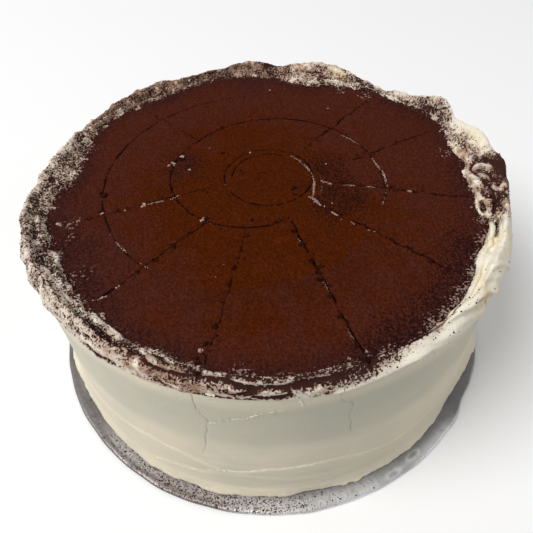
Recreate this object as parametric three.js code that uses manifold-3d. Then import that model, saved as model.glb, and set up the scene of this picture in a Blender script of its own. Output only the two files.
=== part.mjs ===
// A whole round tiramisu cake on its foil-faced card, in millimetres, +Z up.
// The origin is the centre of the card's underside. Angles are in degrees,
// counter-clockwise from +X, so the front of the cake is at -90.

import * as THREE from 'three';
import { mergeVertices } from 'three/addons/utils/BufferGeometryUtils.js';
import Module from 'manifold-3d';

const wasm = await Module();
wasm.setup();

// Driving dimensions
const CARD_RADIUS = 140;
const CARD_THICKNESS = 3;
const CARD_EDGE = 0.8; // rounding of the folded foil edge
const CAKE_RADIUS = 127; // of the smoothed wall, just under the crown
const COCOA_LEVEL = 108; // top of the cocoa, above the card
const COCOA_THICKNESS = 2;
const LIP_DROP = 5.5; // how far below the cocoa the crown starts to lean out
const CREST_INSET = 2.8; // from the lip's outermost line in to the crest
const CREAM_WIDTH = 7; // cream seen between the wall and the cocoa, at its narrowest
const CREST_RISE = 4.8; // usual height of the crest over the cocoa
const LIP_BULGE = 0.6; // usual overhang of the lip past the wall
const FOOT_SPREAD = 1; // unevenness of the cream where it meets the card
const SCORE_RADIUS = 1; // half the width of a scored line, and its depth
const NOTCH_SIZE = 4.5; // side of the square cut that a scored line makes in the crown
const GAP = 0.3; // between pieces that touch
const STEPS = 180; // round the cake

// Each lobe is [angle, spread, amount]: the amount is reached at the angle and fades
// over the spread. They give the crown its uneven width, height and overhang.
const WIDTH_LOBES = [
  [-4, 14, 11], [15, 9, 6], [41, 6, 4], [74, 14, 11], [127, 10, 5], [171, 13, 13],
  [-150, 20, 7], [-118, 14, 3], [-31, 10, 6],
];
const RISE_LOBES = [
  [29, 6, 5], [14, 5, 3.5], [0, 9, 4], [-20, 9, 2.5], [48, 8, -2.6], [70, 7, 3.5], [92, 11, 2.5],
  [128, 12, 1.5], [165, 14, -1], [-166, 4, 3], [-150, 12, 2.5], [-90, 34, -1.2], [-45, 7, 1.5],
];
const BULGE_LOBES = [
  [29, 7, 3.6], [12, 6, 3], [-1, 8, 2.6], [72, 7, 2.2], [95, 9, 1.6], [-149, 9, 1],
  [48, 7, -2.6], [160, 16, -1.6],
];
// The card's edge is pushed out and then in at one place.
const CARD_DENT = [[-41, 3, 0.8], [-34, 4, -1.4]];

// The smoothed wall: height above the card and radius, from the foot to the lip.
const WALL = [
  [0, 129.4], [1.4, 131], [5, 130.6], [10, 129.5], [20, 128.9], [30, 128.6], [34, 127.8],
  [60, 127.2], [85, 127], [COCOA_LEVEL - LIP_DROP, CAKE_RADIUS],
];

// The portion marks pressed into the cocoa: straight lines from [x, y] to [x, y].
const SCORE_LINES = [
  { from: [12.5, -32.3], to: [37.9, -114.6] },
  { from: [-10.4, -38.4], to: [-27.4, -116.6] },
  { from: [-31.8, -30.1], to: [-77.7, -79.7] },
  { from: [-30.7, -2.1], to: [-96.5, -26.8] },
  { from: [-39.8, 42.3], to: [-78.1, 80] },
  { from: [23.8, 31.2], to: [77.5, 92.3] },
  { from: [49.7, 17.8], to: [104.1, 45] },
  { from: [35.1, -1.4], to: [106.6, -18.6] },
  { from: [23.9, -15.8], to: [82.8, -68] },
];

// And arcs of rings: centre, radius, first angle, and how far round they run.
const SCORE_ARCS = [
  { centre: [1.6, 5.9], radius: 24.6, first: 0, turn: 360 },
  { centre: [-8.9, 9.5], radius: 44.6, first: 133, turn: 163 },
  { centre: [5, 7.1], radius: 56.7, first: 48, turn: 94 },
  { centre: [-6.3, -0.9], radius: 70.7, first: -19, turn: 65 },
  { centre: [-2.9, 6.3], radius: 86.8, first: 96, turn: 132 },
];
const ARC_STEP = 9; // degrees of a ring to one straight piece

// The angles at which a scored line runs out through the crown.
const NOTCH_ANGLES = [-71.8, -103.4];

const MATERIALS = {
  foil: new THREE.MeshStandardMaterial({ color: 0xb9b6b2, roughness: 0.35, metalness: 0.7 }),
  cream: new THREE.MeshStandardMaterial({ color: 0xdcd8c6, roughness: 0.6, metalness: 0 }),
  cocoa: new THREE.MeshStandardMaterial({ color: 0x47200f, roughness: 0.95, metalness: 0 }),
};

const radians = THREE.MathUtils.degToRad;

// The sum of a list of lobes at one angle.
function lobeSum(lobes, angle) {
  let sum = 0;
  for (const [at, spread, amount] of lobes) {
    const away = ((angle - at + 540) % 360) - 180;
    sum += amount * Math.exp(-((away / spread) ** 2));
  }
  return sum;
}

// An irregular wave of about one millimetre round the cake. The phase slides it,
// so that waves on neighbouring rings run on as slanted folds.
function ripple(angle, phase) {
  const a = radians(angle);
  const slow = 0.5 * Math.sin(11 * a + 1.7 * phase);
  const middle = 0.45 * Math.sin(23 * a + 1 + phase);
  const fast = 0.35 * Math.sin(41 * a + 2 - 1.3 * phase);
  return slow + middle + fast;
}

function cocoaEdge(angle) {
  return CAKE_RADIUS - CREAM_WIDTH - lobeSum(WIDTH_LOBES, angle) + 0.7 * ripple(angle, 4);
}

// The crown's section at one angle, from the lip in to the edge of the cocoa:
// an outer ridge, a trough and a lower inner fold, as [radius, height] pairs.
function crownSection(angle) {
  const edge = cocoaEdge(angle);
  const lip = CAKE_RADIUS + LIP_BULGE + lobeSum(BULGE_LOBES, angle) + 0.6 * ripple(angle, 0);
  const crest = lip - CREST_INSET;
  const inward = crest - edge;
  const rise = CREST_RISE + lobeSum(RISE_LOBES, angle) + ripple(angle, 1);
  const trough = 0.4 + 0.08 * ripple(angle, 2);
  const fold = 0.6 + 0.16 * ripple(angle, 3);
  return [
    [lip, -0.35 * LIP_DROP],
    [lip - 0.5, 0.6 * rise],
    [crest, rise],
    [crest - 0.2 * inward, 0.85 * rise],
    [crest - 0.42 * inward, trough * rise],
    [crest - 0.66 * inward, fold * rise],
    [crest - 0.86 * inward, 0.3 * rise],
    [edge, 0.2],
  ].map(([radius, height]) => [radius, COCOA_LEVEL + height]);
}

// A closed turned shape. The section gives [radius, height] pairs at an angle, from
// the axis at the bottom, outwards and up, to the axis at the top.
function turned(section) {
  const first = section(0).map(([radius, height]) => new THREE.Vector2(radius, height));
  const geometry = new THREE.LatheGeometry(first, STEPS);
  const place = geometry.getAttribute('position');
  for (let step = 0; step <= STEPS; step += 1) {
    const angle = (360 * (step % STEPS)) / STEPS;
    section(angle).forEach(([radius, height], index) => {
      const x = radius * Math.cos(radians(angle));
      const y = radius * Math.sin(radians(angle));
      place.setXYZ(step * first.length + index, x, y, height);
    });
  }
  return welded(geometry);
}

// Only positions are kept, equal ones become one vertex, and the slivers that this
// leaves at the axis are dropped.
function welded(geometry) {
  const bare = new THREE.BufferGeometry();
  bare.setAttribute('position', geometry.getAttribute('position'));
  bare.setIndex(geometry.getIndex());
  const merged = mergeVertices(bare, 1e-4);
  const index = merged.getIndex().array;
  const kept = [];
  for (let i = 0; i < index.length; i += 3) {
    const [a, b, c] = [index[i], index[i + 1], index[i + 2]];
    if (a !== b && b !== c && c !== a) {
      kept.push(a, b, c);
    }
  }
  merged.setIndex(kept);
  return merged;
}

function toSolid(geometry) {
  return new wasm.Manifold(new wasm.Mesh({
    numProp: 3,
    vertProperties: new Float32Array(geometry.getAttribute('position').array),
    triVerts: new Uint32Array(geometry.getIndex().array),
  }));
}

function toGeometry(solid) {
  const mesh = solid.getMesh();
  const geometry = new THREE.BufferGeometry();
  geometry.setAttribute('position', new THREE.BufferAttribute(mesh.vertProperties, 3));
  geometry.setIndex(new THREE.BufferAttribute(mesh.triVerts, 1));
  geometry.computeVertexNormals();
  return geometry;
}

function cutAll(geometry, cutters) {
  let solid = toSolid(geometry);
  for (const cutter of cutters) {
    solid = solid.subtract(toSolid(cutter));
  }
  return toGeometry(solid);
}

class ScoreArc extends THREE.Curve {
  constructor({ centre, radius, first, turn }) {
    super();
    Object.assign(this, { centre, radius, first, turn });
  }

  getPoint(t, target = new THREE.Vector3()) {
    const angle = radians(this.first + this.turn * t);
    const x = this.centre[0] + this.radius * Math.cos(angle);
    const y = this.centre[1] + this.radius * Math.sin(angle);
    return target.set(x, y, COCOA_LEVEL);
  }
}

// The blade of the portion marker: a six-sided rod along a line or a ring.
function scoreRod(path, steps) {
  const section = new THREE.Shape();
  for (let side = 0; side < 6; side += 1) {
    const angle = radians(60 * side);
    const corner = [SCORE_RADIUS * Math.cos(angle), SCORE_RADIUS * Math.sin(angle)];
    if (side === 0) {
      section.moveTo(...corner);
    } else {
      section.lineTo(...corner);
    }
  }
  section.closePath();
  return welded(new THREE.ExtrudeGeometry(section, { steps, extrudePath: path }));
}

function lineRod({ from, to }) {
  const start = new THREE.Vector3(...from, COCOA_LEVEL);
  const end = new THREE.Vector3(...to, COCOA_LEVEL);
  return scoreRod(new THREE.LineCurve3(start, end), 1);
}

function arcRod(arc) {
  if (arc.turn === 360) {
    const blade = [[0, -1], [1, 1], [-1, 1], [0, -1]].map(([out, up]) => (
      new THREE.Vector2(arc.radius + out * SCORE_RADIUS, up * SCORE_RADIUS)
    ));
    const ring = welded(new THREE.LatheGeometry(blade, 360 / ARC_STEP));
    ring.rotateX(Math.PI / 2);
    return ring.translate(...arc.centre, COCOA_LEVEL);
  }
  return scoreRod(new ScoreArc(arc), Math.round(arc.turn / ARC_STEP));
}

// A bar on its edge, lying outwards through the crown at one angle.
function notchBar(angle) {
  const inner = cocoaEdge(angle) - 2;
  const length = CAKE_RADIUS - 1 - inner;
  const bar = new THREE.BoxGeometry(length, NOTCH_SIZE, NOTCH_SIZE);
  bar.rotateX(Math.PI / 4);
  bar.translate(inner + length / 2, 0, COCOA_LEVEL + CREST_RISE - 0.4);
  bar.rotateZ(radians(angle));
  return welded(bar);
}

function card() {
  return turned((angle) => {
    const nicked = CARD_RADIUS + lobeSum(CARD_DENT, angle);
    return [
      [0, 0],
      [nicked - CARD_EDGE, 0],
      [nicked, CARD_EDGE],
      [nicked, CARD_THICKNESS - CARD_EDGE],
      [nicked - CARD_EDGE, CARD_THICKNESS],
      [0, CARD_THICKNESS],
    ];
  });
}

// The cake and its coat of cream, from the ragged foot to the crown, with the shallow
// bed for the cocoa on top. Heights are above the card.
function creamCake() {
  const bed = COCOA_LEVEL - COCOA_THICKNESS - GAP;
  const body = turned((angle) => {
    const wall = WALL.map(([height, radius]) => {
      const nearFoot = Math.exp(-height / 3);
      return [radius + FOOT_SPREAD * nearFoot * ripple(angle, 5), height];
    });
    const edge = cocoaEdge(angle);
    return [[0, 0], ...wall, ...crownSection(angle), [edge, bed], [0, bed]];
  });
  return cutAll(body, NOTCH_ANGLES.map(notchBar));
}

function cocoaLayer() {
  const bottom = COCOA_LEVEL - COCOA_THICKNESS;
  const disc = turned((angle) => {
    const edge = cocoaEdge(angle) - GAP;
    return [[0, bottom], [edge, bottom], [edge, COCOA_LEVEL], [0, COCOA_LEVEL]];
  });
  return cutAll(disc, [...SCORE_LINES.map(lineRod), ...SCORE_ARCS.map(arcRod)]);
}

function piece(name, geometry, material) {
  const mesh = new THREE.Mesh(geometry, material);
  mesh.name = name;
  return mesh;
}

const cake = new THREE.Group();
cake.add(piece('cream_cake', creamCake(), MATERIALS.cream));
cake.add(piece('cocoa_layer', cocoaLayer(), MATERIALS.cocoa));
cake.position.z = CARD_THICKNESS + GAP;

const group = new THREE.Group();
group.add(piece('cake_board', card(), MATERIALS.foil));
group.add(cake);

export default group;
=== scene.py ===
# %% [markdown]
# A tiramisu cake on its card.
#
# The real cake is a soaked sponge, coated all round with mascarpone cream by a palette knife. The
# knife leaves a smooth wall, and pushes a ragged crown of cream up over the top edge. Cocoa powder
# is then sifted over the top, and a portion marker pressed into it leaves rings and spokes. The cake
# stands on a thin card that is faced with silver foil.
#
# The solid model already fixes every size, so this lesson first loads it, and then dresses it.

# %% Load the fixed frame
import math

import bpy
import numpy as np
from mathutils import Euler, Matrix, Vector


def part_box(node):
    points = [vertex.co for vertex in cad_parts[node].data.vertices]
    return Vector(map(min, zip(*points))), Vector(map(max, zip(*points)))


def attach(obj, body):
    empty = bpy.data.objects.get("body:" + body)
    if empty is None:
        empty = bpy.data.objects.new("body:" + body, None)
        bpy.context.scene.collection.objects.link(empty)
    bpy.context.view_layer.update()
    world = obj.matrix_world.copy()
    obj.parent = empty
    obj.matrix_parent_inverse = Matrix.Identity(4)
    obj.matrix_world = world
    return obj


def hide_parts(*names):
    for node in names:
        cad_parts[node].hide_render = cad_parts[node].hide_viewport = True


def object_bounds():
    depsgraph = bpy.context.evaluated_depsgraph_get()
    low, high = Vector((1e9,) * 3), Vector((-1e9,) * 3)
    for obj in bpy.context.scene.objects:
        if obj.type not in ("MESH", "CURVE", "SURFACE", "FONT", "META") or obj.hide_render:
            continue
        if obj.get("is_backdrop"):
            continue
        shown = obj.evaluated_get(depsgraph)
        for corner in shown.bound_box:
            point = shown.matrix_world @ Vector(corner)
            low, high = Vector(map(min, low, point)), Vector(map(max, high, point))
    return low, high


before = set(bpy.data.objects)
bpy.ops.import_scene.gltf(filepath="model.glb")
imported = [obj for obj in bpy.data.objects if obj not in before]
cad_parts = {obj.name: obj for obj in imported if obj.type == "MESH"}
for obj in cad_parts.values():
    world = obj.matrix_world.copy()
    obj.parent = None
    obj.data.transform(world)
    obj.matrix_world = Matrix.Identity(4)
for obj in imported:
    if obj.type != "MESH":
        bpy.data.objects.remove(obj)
cad_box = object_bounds()
print("solids", sorted(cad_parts))

# %% [markdown]
# Sizes. A shape is easier to think about in millimetres, so the numbers below are millimetres and
# degrees, and they become metres only when a mesh is written. Heights are above the cake's foot, and
# angles run counter-clockwise from +X, so the front of the cake is at -90. The levels are read from
# the solids, so that the dressed cake can't drift away from them. The crown's form repeats the values
# of the solid. Only the last two bulges of its lip, at the front right and the left, are new.

# %% Sizes from the solids
MM = 0.001
card_low, card_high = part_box("cake_board")
cake_low, cake_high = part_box("cream_cake")
cocoa_low, cocoa_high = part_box("cocoa_layer")
CARD_TOP = card_high.z / MM
CARD_RADIUS = 140
FOOT = cake_low.z / MM
COCOA_LEVEL = cocoa_high.z / MM - FOOT
COCOA_THICKNESS = (cocoa_high.z - cocoa_low.z) / MM
print("card", CARD_RADIUS, "foot", FOOT, "cocoa", COCOA_LEVEL)

# %% The form of the crown
CAKE_RADIUS = 127
LIP_DROP = 5.5
CREST_INSET = 2.8
SHOULDER_INSET = 1.8
CREAM_WIDTH = 7
CREST_RISE = 4.8
LIP_BULGE = 0.6

WIDTH_LOBES = [
    (-4, 14, 11), (15, 9, 6), (41, 6, 4), (74, 14, 11), (127, 10, 5), (171, 13, 13),
    (-150, 20, 7), (-118, 14, 3), (-31, 10, 6),
]
RISE_LOBES = [
    (29, 6, 5), (14, 5, 3.5), (0, 9, 4), (-20, 9, 2.5), (48, 8, -2.6), (70, 7, 3.5), (92, 11, 2.5),
    (128, 12, 1.5), (165, 14, -1), (-166, 4, 3), (-150, 12, 2.5), (-90, 34, -1.2), (-45, 7, 1.5),
]
BULGE_LOBES = [
    (29, 7, 3.6), (12, 6, 3), (-1, 8, 2.6), (72, 7, 2.2), (95, 9, 1.6), (-149, 9, 1),
    (48, 7, -2.6), (160, 16, -1.6), (-44, 7, 1.5), (-172, 9, 1.4),
]


def turn_between(angle, at):
    """The shorter way round from one angle to another, from -180 to 180."""
    return (angle - at + 180) % 360 - 180


def lobe_sum(lobes, angle):
    """Bumps round the cake: each is (angle, spread, amount)."""
    total = np.zeros_like(angle, dtype=float)
    for at, spread, amount in lobes:
        total += amount * np.exp(-((turn_between(angle, at) / spread) ** 2))
    return total


def ripple(angle, phase):
    """An irregular wave of about one millimetre round the cake."""
    a = np.radians(angle)
    slow = 0.5 * np.sin(11 * a + 1.7 * phase)
    middle = 0.45 * np.sin(23 * a + 1 + phase)
    fast = 0.35 * np.sin(41 * a + 2 - 1.3 * phase)
    return slow + middle + fast


def cocoa_edge(angle):
    """The radius of the crown's inner edge."""
    return CAKE_RADIUS - CREAM_WIDTH - lobe_sum(WIDTH_LOBES, angle) + 0.7 * ripple(angle, 4)


def smooth_step(low, high, value):
    """A smooth change from 0 at low to 1 at high. Low may be the greater."""
    share = np.clip((value - low) / (high - low), 0, 1)
    return share * share * (3 - 2 * share)


all_round = cocoa_edge(np.arange(360.0))
print("crown edge from", all_round.min(), "to", all_round.max())

# %% [markdown]
# Shaping by rule. Cream pushed by a knife has no outline that could be drawn point by point, and a
# displace modifier can't tell the front of a cake from its back. So a primitive first gives a clean,
# dense grid of points, and then a few small functions say how far each point moves: `grain` gives
# smooth random bumps of one size, and `distance_to_path` how far a point is from a drawn line.

# %% Helpers for points
def grain(points, size, seed):
    """Smooth random heights from -1 to 1, with bumps of about this size."""
    cell = np.asarray(points, float) / size + 11.3 * seed
    corner = np.floor(cell)
    share = cell - corner
    share = share * share * (3 - 2 * share)
    total = np.zeros(len(cell))
    for dx in (0, 1):
        for dy in (0, 1):
            for dz in (0, 1):
                key = (corner + (dx, dy, dz)) @ (127.1, 311.7, 74.7)
                value = np.modf(np.abs(np.sin(key) * 43758.5453))[0]
                weight = np.abs(1 - dx - share[:, 0]) * np.abs(1 - dy - share[:, 1])
                total += value * weight * np.abs(1 - dz - share[:, 2])
    return 2 * total - 1


def distance_to_path(points, path):
    """How far flat points are from a path, and how far along it they come, from 0 to 1."""
    nearest = np.full(len(points), np.inf)
    along = np.zeros(len(points))
    for number, (start, end) in enumerate(zip(path[:-1], path[1:])):
        step = np.subtract(end, start)
        share = np.clip((points - start) @ step / (step @ step), 0, 1)
        distance = np.linalg.norm(points - start - share[:, None] * step, axis=1)
        closer = distance < nearest
        nearest[closer] = distance[closer]
        along[closer] = (number + share[closer]) / (len(path) - 1)
    return nearest, along


def at_polar(angle, radius, height):
    """Points at these angles in degrees, radii and heights."""
    a = np.radians(angle)
    return np.stack([radius * np.cos(a), radius * np.sin(a), height], axis=-1)


def to_polar(points):
    """Each point's angle in degrees, and its radius."""
    return np.degrees(np.arctan2(points[:, 1], points[:, 0])), np.hypot(points[:, 0], points[:, 1])


def read_points(piece):
    flat = np.empty(3 * len(piece.data.vertices))
    piece.data.vertices.foreach_get("co", flat)
    return flat.reshape(-1, 3) / MM


def write_points(piece, points):
    piece.data.vertices.foreach_set("co", (points * MM).ravel())
    piece.data.update()


def keep_attribute(piece, name, values):
    """Stores one number for each point, which a material can read by this name."""
    layer = piece.data.attributes.new(name, "FLOAT", "POINT")
    layer.data.foreach_set("value", np.asarray(values, np.float32))


# %% Helpers for operators
def clear_selection():
    bpy.ops.object.select_all(action="DESELECT")


def name_and_settle(name):
    """Names the new primitive, and moves its place into its mesh."""
    piece = bpy.context.object
    piece.name = name
    piece.data.name = name
    bpy.ops.object.transform_apply(location=True, rotation=True, scale=True)
    return piece


def select_edges(piece, wanted):
    """Selects these edges and nothing else, ready for edit mode."""
    bpy.context.tool_settings.mesh_select_mode = (False, True, False)
    mesh = piece.data
    mesh.vertices.foreach_set("select", np.zeros(len(mesh.vertices), bool))
    mesh.polygons.foreach_set("select", np.zeros(len(mesh.polygons), bool))
    mesh.edges.foreach_set("select", wanted)


def add_tube(name, around, rows, low, high, ends):
    """A cylinder whose upright edges are cut into rows, with each point's angle and share of height."""
    clear_selection()
    bpy.ops.mesh.primitive_cylinder_add(
        vertices=around,
        radius=CAKE_RADIUS * MM,
        depth=(high - low) * MM,
        location=(0, 0, (low + high) / 2 * MM),
        end_fill_type=ends,
    )
    piece = name_and_settle(name)
    edge_ends = np.empty(2 * len(piece.data.edges), int)
    piece.data.edges.foreach_get("vertices", edge_ends)
    heights = read_points(piece)[:, 2][edge_ends.reshape(-1, 2)]
    select_edges(piece, np.abs(heights[:, 0] - heights[:, 1]) > (high - low) / 2)
    bpy.ops.object.mode_set(mode="EDIT")
    bpy.ops.mesh.subdivide(number_cuts=rows - 1)
    bpy.ops.object.mode_set(mode="OBJECT")
    points = read_points(piece)
    return piece, to_polar(points)[0], (points[:, 2] - low) / (high - low)


def smooth_over(piece):
    """Shades every face smooth."""
    piece.data.polygons.foreach_set("use_smooth", np.ones(len(piece.data.polygons), bool))


def count_triangles(piece):
    sides = np.empty(len(piece.data.polygons), int)
    piece.data.polygons.foreach_get("loop_total", sides)
    return int((sides - 2).sum())


# %% [markdown]
# Shader helpers. A node tree is easiest to read as a list of what each node is fed. `node` adds one
# node and, for each named input, either links a socket or sets a value. The others are the few kinds
# of node that come back again and again, each in one line.

# %% Helpers for materials
def node(tree, kind, inputs=None, **settings):
    made = tree.nodes.new("ShaderNode" + kind)
    for name, value in settings.items():
        setattr(made, name, value)
    for name, value in (inputs or {}).items():
        if isinstance(value, bpy.types.NodeSocket):
            tree.links.new(value, made.inputs[name])
        else:
            made.inputs[name].default_value = value
    return made


def calculate(tree, operation, first, second):
    return node(tree, "Math", {0: first, 1: second}, operation=operation).outputs[0]


def soften(tree, value, low, high, start=0.0, end=1.0):
    """A smooth change from start to end as the value goes from low to high."""
    inputs = {"Value": value, "From Min": low, "From Max": high, "To Min": start, "To Max": end}
    return node(tree, "MapRange", inputs, interpolation_type="SMOOTHSTEP").outputs["Result"]


def mix_colours(tree, share, first, second):
    return node(tree, "Mix", {0: share, 6: first, 7: second}, data_type="RGBA").outputs[2]


def noise(tree, place, size, detail=2.0):
    """Noise with bumps of this size in millimetres, put out as a value from 0 to 1."""
    inputs = {"Vector": place, "Scale": 1 / (size * MM), "Detail": detail}
    return node(tree, "TexNoise", inputs).outputs["Fac"]


def object_place(tree):
    return node(tree, "TexCoord").outputs["Object"]


def attribute(tree, name):
    return node(tree, "Attribute", attribute_name=name).outputs["Fac"]


def new_group(name, inputs, outputs):
    """A node group with these sockets, each given as name: type."""
    group = bpy.data.node_groups.new(name, "ShaderNodeTree")
    for label, kind in inputs.items():
        group.interface.new_socket(label, in_out="INPUT", socket_type="NodeSocket" + kind)
    for label, kind in outputs.items():
        group.interface.new_socket(label, in_out="OUTPUT", socket_type="NodeSocket" + kind)
    return group, group.nodes.new("NodeGroupInput").outputs, group.nodes.new("NodeGroupOutput")


def place_group(tree, group, inputs):
    """Puts a group into a material, and returns its outputs."""
    return node(tree, "Group", inputs, node_tree=group).outputs


def new_material(name):
    """A material with its tree and its Principled shader."""
    paint = bpy.data.materials.new(name)
    paint.use_nodes = True
    return paint, paint.node_tree, paint.node_tree.nodes["Principled BSDF"]


def bump(tree, height, depth):
    """A normal from a height that runs from 0 to 1, where 1 stands for this depth in millimetres."""
    return node(tree, "Bump", {"Height": height, "Distance": depth * MM}).outputs["Normal"]


# %% [markdown]
# Cream tone. Mascarpone cream is never one flat white: the thicker it is the warmer it looks, and
# where it is thin the sponge greys it. One group mixes three close tones by slow noise, and a fine
# noise gives the pores that a knife leaves. The wall, the crown and the loose flecks all share it.

# %% Cream tone group
CREAM = (0.84, 0.75, 0.578, 1)
CREAM_YELLOW = (0.83, 0.72, 0.44, 1)
CREAM_GREY = (0.77, 0.708, 0.565, 1)

cream_tone, given, result = new_group(
    "cream_tone",
    {"Vector": "Vector"},
    {"Color": "Color", "Pores": "Float"},
)
slow = noise(cream_tone, given["Vector"], 30)
middle = noise(cream_tone, given["Vector"], 9)
greyer = mix_colours(cream_tone, soften(cream_tone, slow, 0.45, 0.7), CREAM, CREAM_GREY)
tone = mix_colours(cream_tone, soften(cream_tone, middle, 0.55, 0.8, 0, 0.55), greyer, CREAM_YELLOW)
pores = noise(cream_tone, given["Vector"], 1.1, 4)
cream_tone.links.new(tone, result.inputs["Color"])
cream_tone.links.new(pores, result.inputs["Pores"])

# %% [markdown]
# Cocoa dusting. Sifted powder lands as grains: where little has landed, single dark grains show on
# the cream, and where more has, they run together. A threshold on fine noise does just that. The
# group gives the mask of the grains, and a softer, blotchy veil for the thin tan film between them.

# %% Cocoa dusting group
DUST = (0.040, 0.0122, 0.0088, 1)
DUST_VEIL = (0.42, 0.252, 0.182, 1)
DUST_FILM = (0.17, 0.080, 0.055, 1)

dusting, given, result = new_group(
    "cocoa_dusting",
    {"Vector": "Vector", "Cover": "Float", "Grain": "Float"},
    {"Mask": "Float", "Veil": "Float"},
)
scale = calculate(dusting, "DIVIDE", 1 / MM, given["Grain"])
coarse = node(
    dusting,
    "TexNoise",
    {"Vector": given["Vector"], "Scale": scale, "Detail": 4.0, "Roughness": 0.6, "Distortion": 0.3},
)
even = soften(dusting, coarse.outputs["Fac"], 0.30, 0.70)
above = calculate(dusting, "ADD", even, given["Cover"])
mask = soften(dusting, above, 0.90, 1.16)
thick = soften(dusting, given["Cover"], 0.04, 0.5)
blotches = soften(dusting, noise(dusting, given["Vector"], 2.6), 0.34, 0.56, 0.5, 1)
uneven = calculate(dusting, "MULTIPLY", blotches, soften(dusting, even, 0.0, 0.8, 0.7, 1))
veil = calculate(dusting, "MULTIPLY", thick, uneven)
dusting.links.new(mask, result.inputs["Mask"])
dusting.links.new(veil, result.inputs["Veil"])


def dusted(tree, colour, place, cover, grain_size, film):
    """The colour under a dusting of cocoa with so much film between its grains, and the grains' mask."""
    sockets = place_group(tree, dusting, {"Vector": place, "Cover": cover, "Grain": grain_size})
    thick = soften(tree, cover, 0.3, 1.0)
    film_colour = mix_colours(tree, thick, DUST_VEIL, DUST_FILM)
    veiled = mix_colours(tree, calculate(tree, "MULTIPLY", sockets["Veil"], film), colour, film_colour)
    return mix_colours(tree, sockets["Mask"], veiled, DUST), sockets["Mask"]


# %% [markdown]
# The wall. A palette knife held upright while the cake turns leaves a wall that is smooth but not
# true: slow bands run round it, and a ridge shows where the knife's strokes met. The foot is ragged
# where the knife touched the card, and at the right it is spread well out over it. Two cracks run
# down from the lip, with thin smears beside them. All this is too shallow to cut or to carve, so the
# wall is a cylinder, whose upright edges are subdivided into rows, and its points are moved by rule.
# They are first drawn closer where fine marks run: at the foot, at the ridge and at the cracks.

# %% The wall's grid
WALL_AROUND = 1100
WALL_ROWS = 85
WALL_TOP = COCOA_LEVEL - COCOA_THICKNESS - 0.5
FOOT_BEDDING = 0.4
ROW_SHARES = (0, 0.17, 0.30, 0.48, 0.80, 1)
ROW_HEIGHTS = (-FOOT_BEDDING, 6, 22, 38, 96, WALL_TOP)
COLUMN_SHARES = (0, 0.175, 0.235, 0.29, 0.39, 1)
COLUMN_ANGLES = (-180, -108.5, -100.5, -88, -70, 180)

wall_ends = (FOOT, FOOT + WALL_TOP)
wall, angle, share = add_tube("cream_wall", WALL_AROUND, WALL_ROWS, *wall_ends, "TRIFAN")
print("wall points", len(wall.data.vertices))

# %% [markdown]
# The wall's tables. The profile gives a radius for each height. Lobes go round as on the crown, and a
# flare is (angle, spread, reach at the foot, reach above). Ridges, cracks and smears are lines through
# (angle, height). A patch of painted shade is (angle, spread, height, half its height, amount): there
# the wall's colour is greyed and darkened.

# %% The marks on the wall
WALL_PROFILE = [
    (-1, 129.2), (0, 130.2), (1, 131), (2.4, 131), (5, 130.3), (10, 129.2), (20, 128.6), (32, 128.0),
    (60, 127.2), (85, 127), (COCOA_LEVEL - LIP_DROP, CAKE_RADIUS), (COCOA_LEVEL, CAKE_RADIUS - 3),
]
FOOT_LOBES = [
    (-162, 8, 3.6), (-135, 8, -1), (-118, 7, 0.5), (-80, 6, -2.2), (-52, 6, 1.2), (-38, 5, -2.2),
    (-18, 7, 2), (60, 20, 1),
]
FLARES = [(-11, 14, 7.5, 1.5), (-168, 13, 1.6, 0.9)]
FLARE_HEIGHT = 8
BARE_CARD = 0.8
WAIST = (72, 14, 0.55)
WAIST_LOBE = (-90, 42, 1)
RIDGE_LINE = [
    (-180, 27), (-150, 31), (-130, 34), (-119, 38), (-112, 36), (-106, 30), (-102, 26.5), (-97, 27),
    (-92, 31.5), (-85, 33), (-78, 34.5), (-72, 31.5), (-66, 26.5), (-60, 24), (-35, 27), (20, 33),
    (90, 28), (140, 31), (180, 27),
]
LOWER_LINE = [(-150, 8), (-120, 13), (-116, 17), (-108, 19.3), (-103, 23), (-96, 24), (-60, 14)]
RIDGE_HEIGHT = 0.45
LOWER_RIDGE_HEIGHT = 0.3
CRACKS = [
    [
        (-104.6, 103), (-104.8, 95.8), (-104.6, 91.3), (-104.7, 88.4), (-103.8, 82.9), (-102.7, 77.9),
        (-103.6, 73.3), (-103.5, 68.6), (-104.3, 62.8), (-104.6, 52), (-105.8, 43.1), (-106.7, 34),
    ],
    [
        (-77.8, 103), (-77.6, 95.4), (-76.6, 91.2), (-75, 89.2), (-74.6, 84.9), (-74.8, 81.3),
        (-75.1, 77.7), (-74.7, 71.5), (-74.2, 67.9), (-74.4, 63.9), (-73.9, 60.1), (-72.4, 54.4),
        (-70.6, 46.2),
    ],
    [(-102.7, 77.9), (-100.8, 79.4), (-97.6, 84.1), (-95.2, 85), (-93.6, 88)],
]
SMEARS = [
    [(-102, 78), (-97.6, 84.1), (-95.2, 85), (-93.6, 88), (-93, 90), (-90.2, 91.8), (-87.1, 94.4)],
    [(-85.4, 102), (-84.5, 95.2)],
    [(-93.4, 86.5), (-92.9, 91)],
    [(-77.1, 95.4), (-76.1, 91.8), (-74.4, 89.6), (-74, 85), (-74.2, 81.2), (-74.5, 77.6)],
]
WALL_SHADE_PATCHES = [
    (-93, 19, 22, 9, 0.72), (-79, 8, 45, 60, 0.42), (-66, 9, 88, 13, 0.5), (-66, 9, 12, 10, 0.5),
    (-80, 8, 93, 8, 0.3),
]
CRACK_HALF_WIDTH = 0.32
CRACK_DEPTH = 0.45
SMEAR_HALF_WIDTH = 0.5
SMEAR_HEIGHT = 0.28


def flat_on_wall(angle, height):
    """The wall unrolled flat: millimetres round it, and height."""
    return np.stack([np.radians(angle) * CAKE_RADIUS, height], axis=-1)


def line_height(line, angle):
    """The height of a line round the wall, at each angle."""
    return np.interp(angle, *zip(*line))


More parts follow.
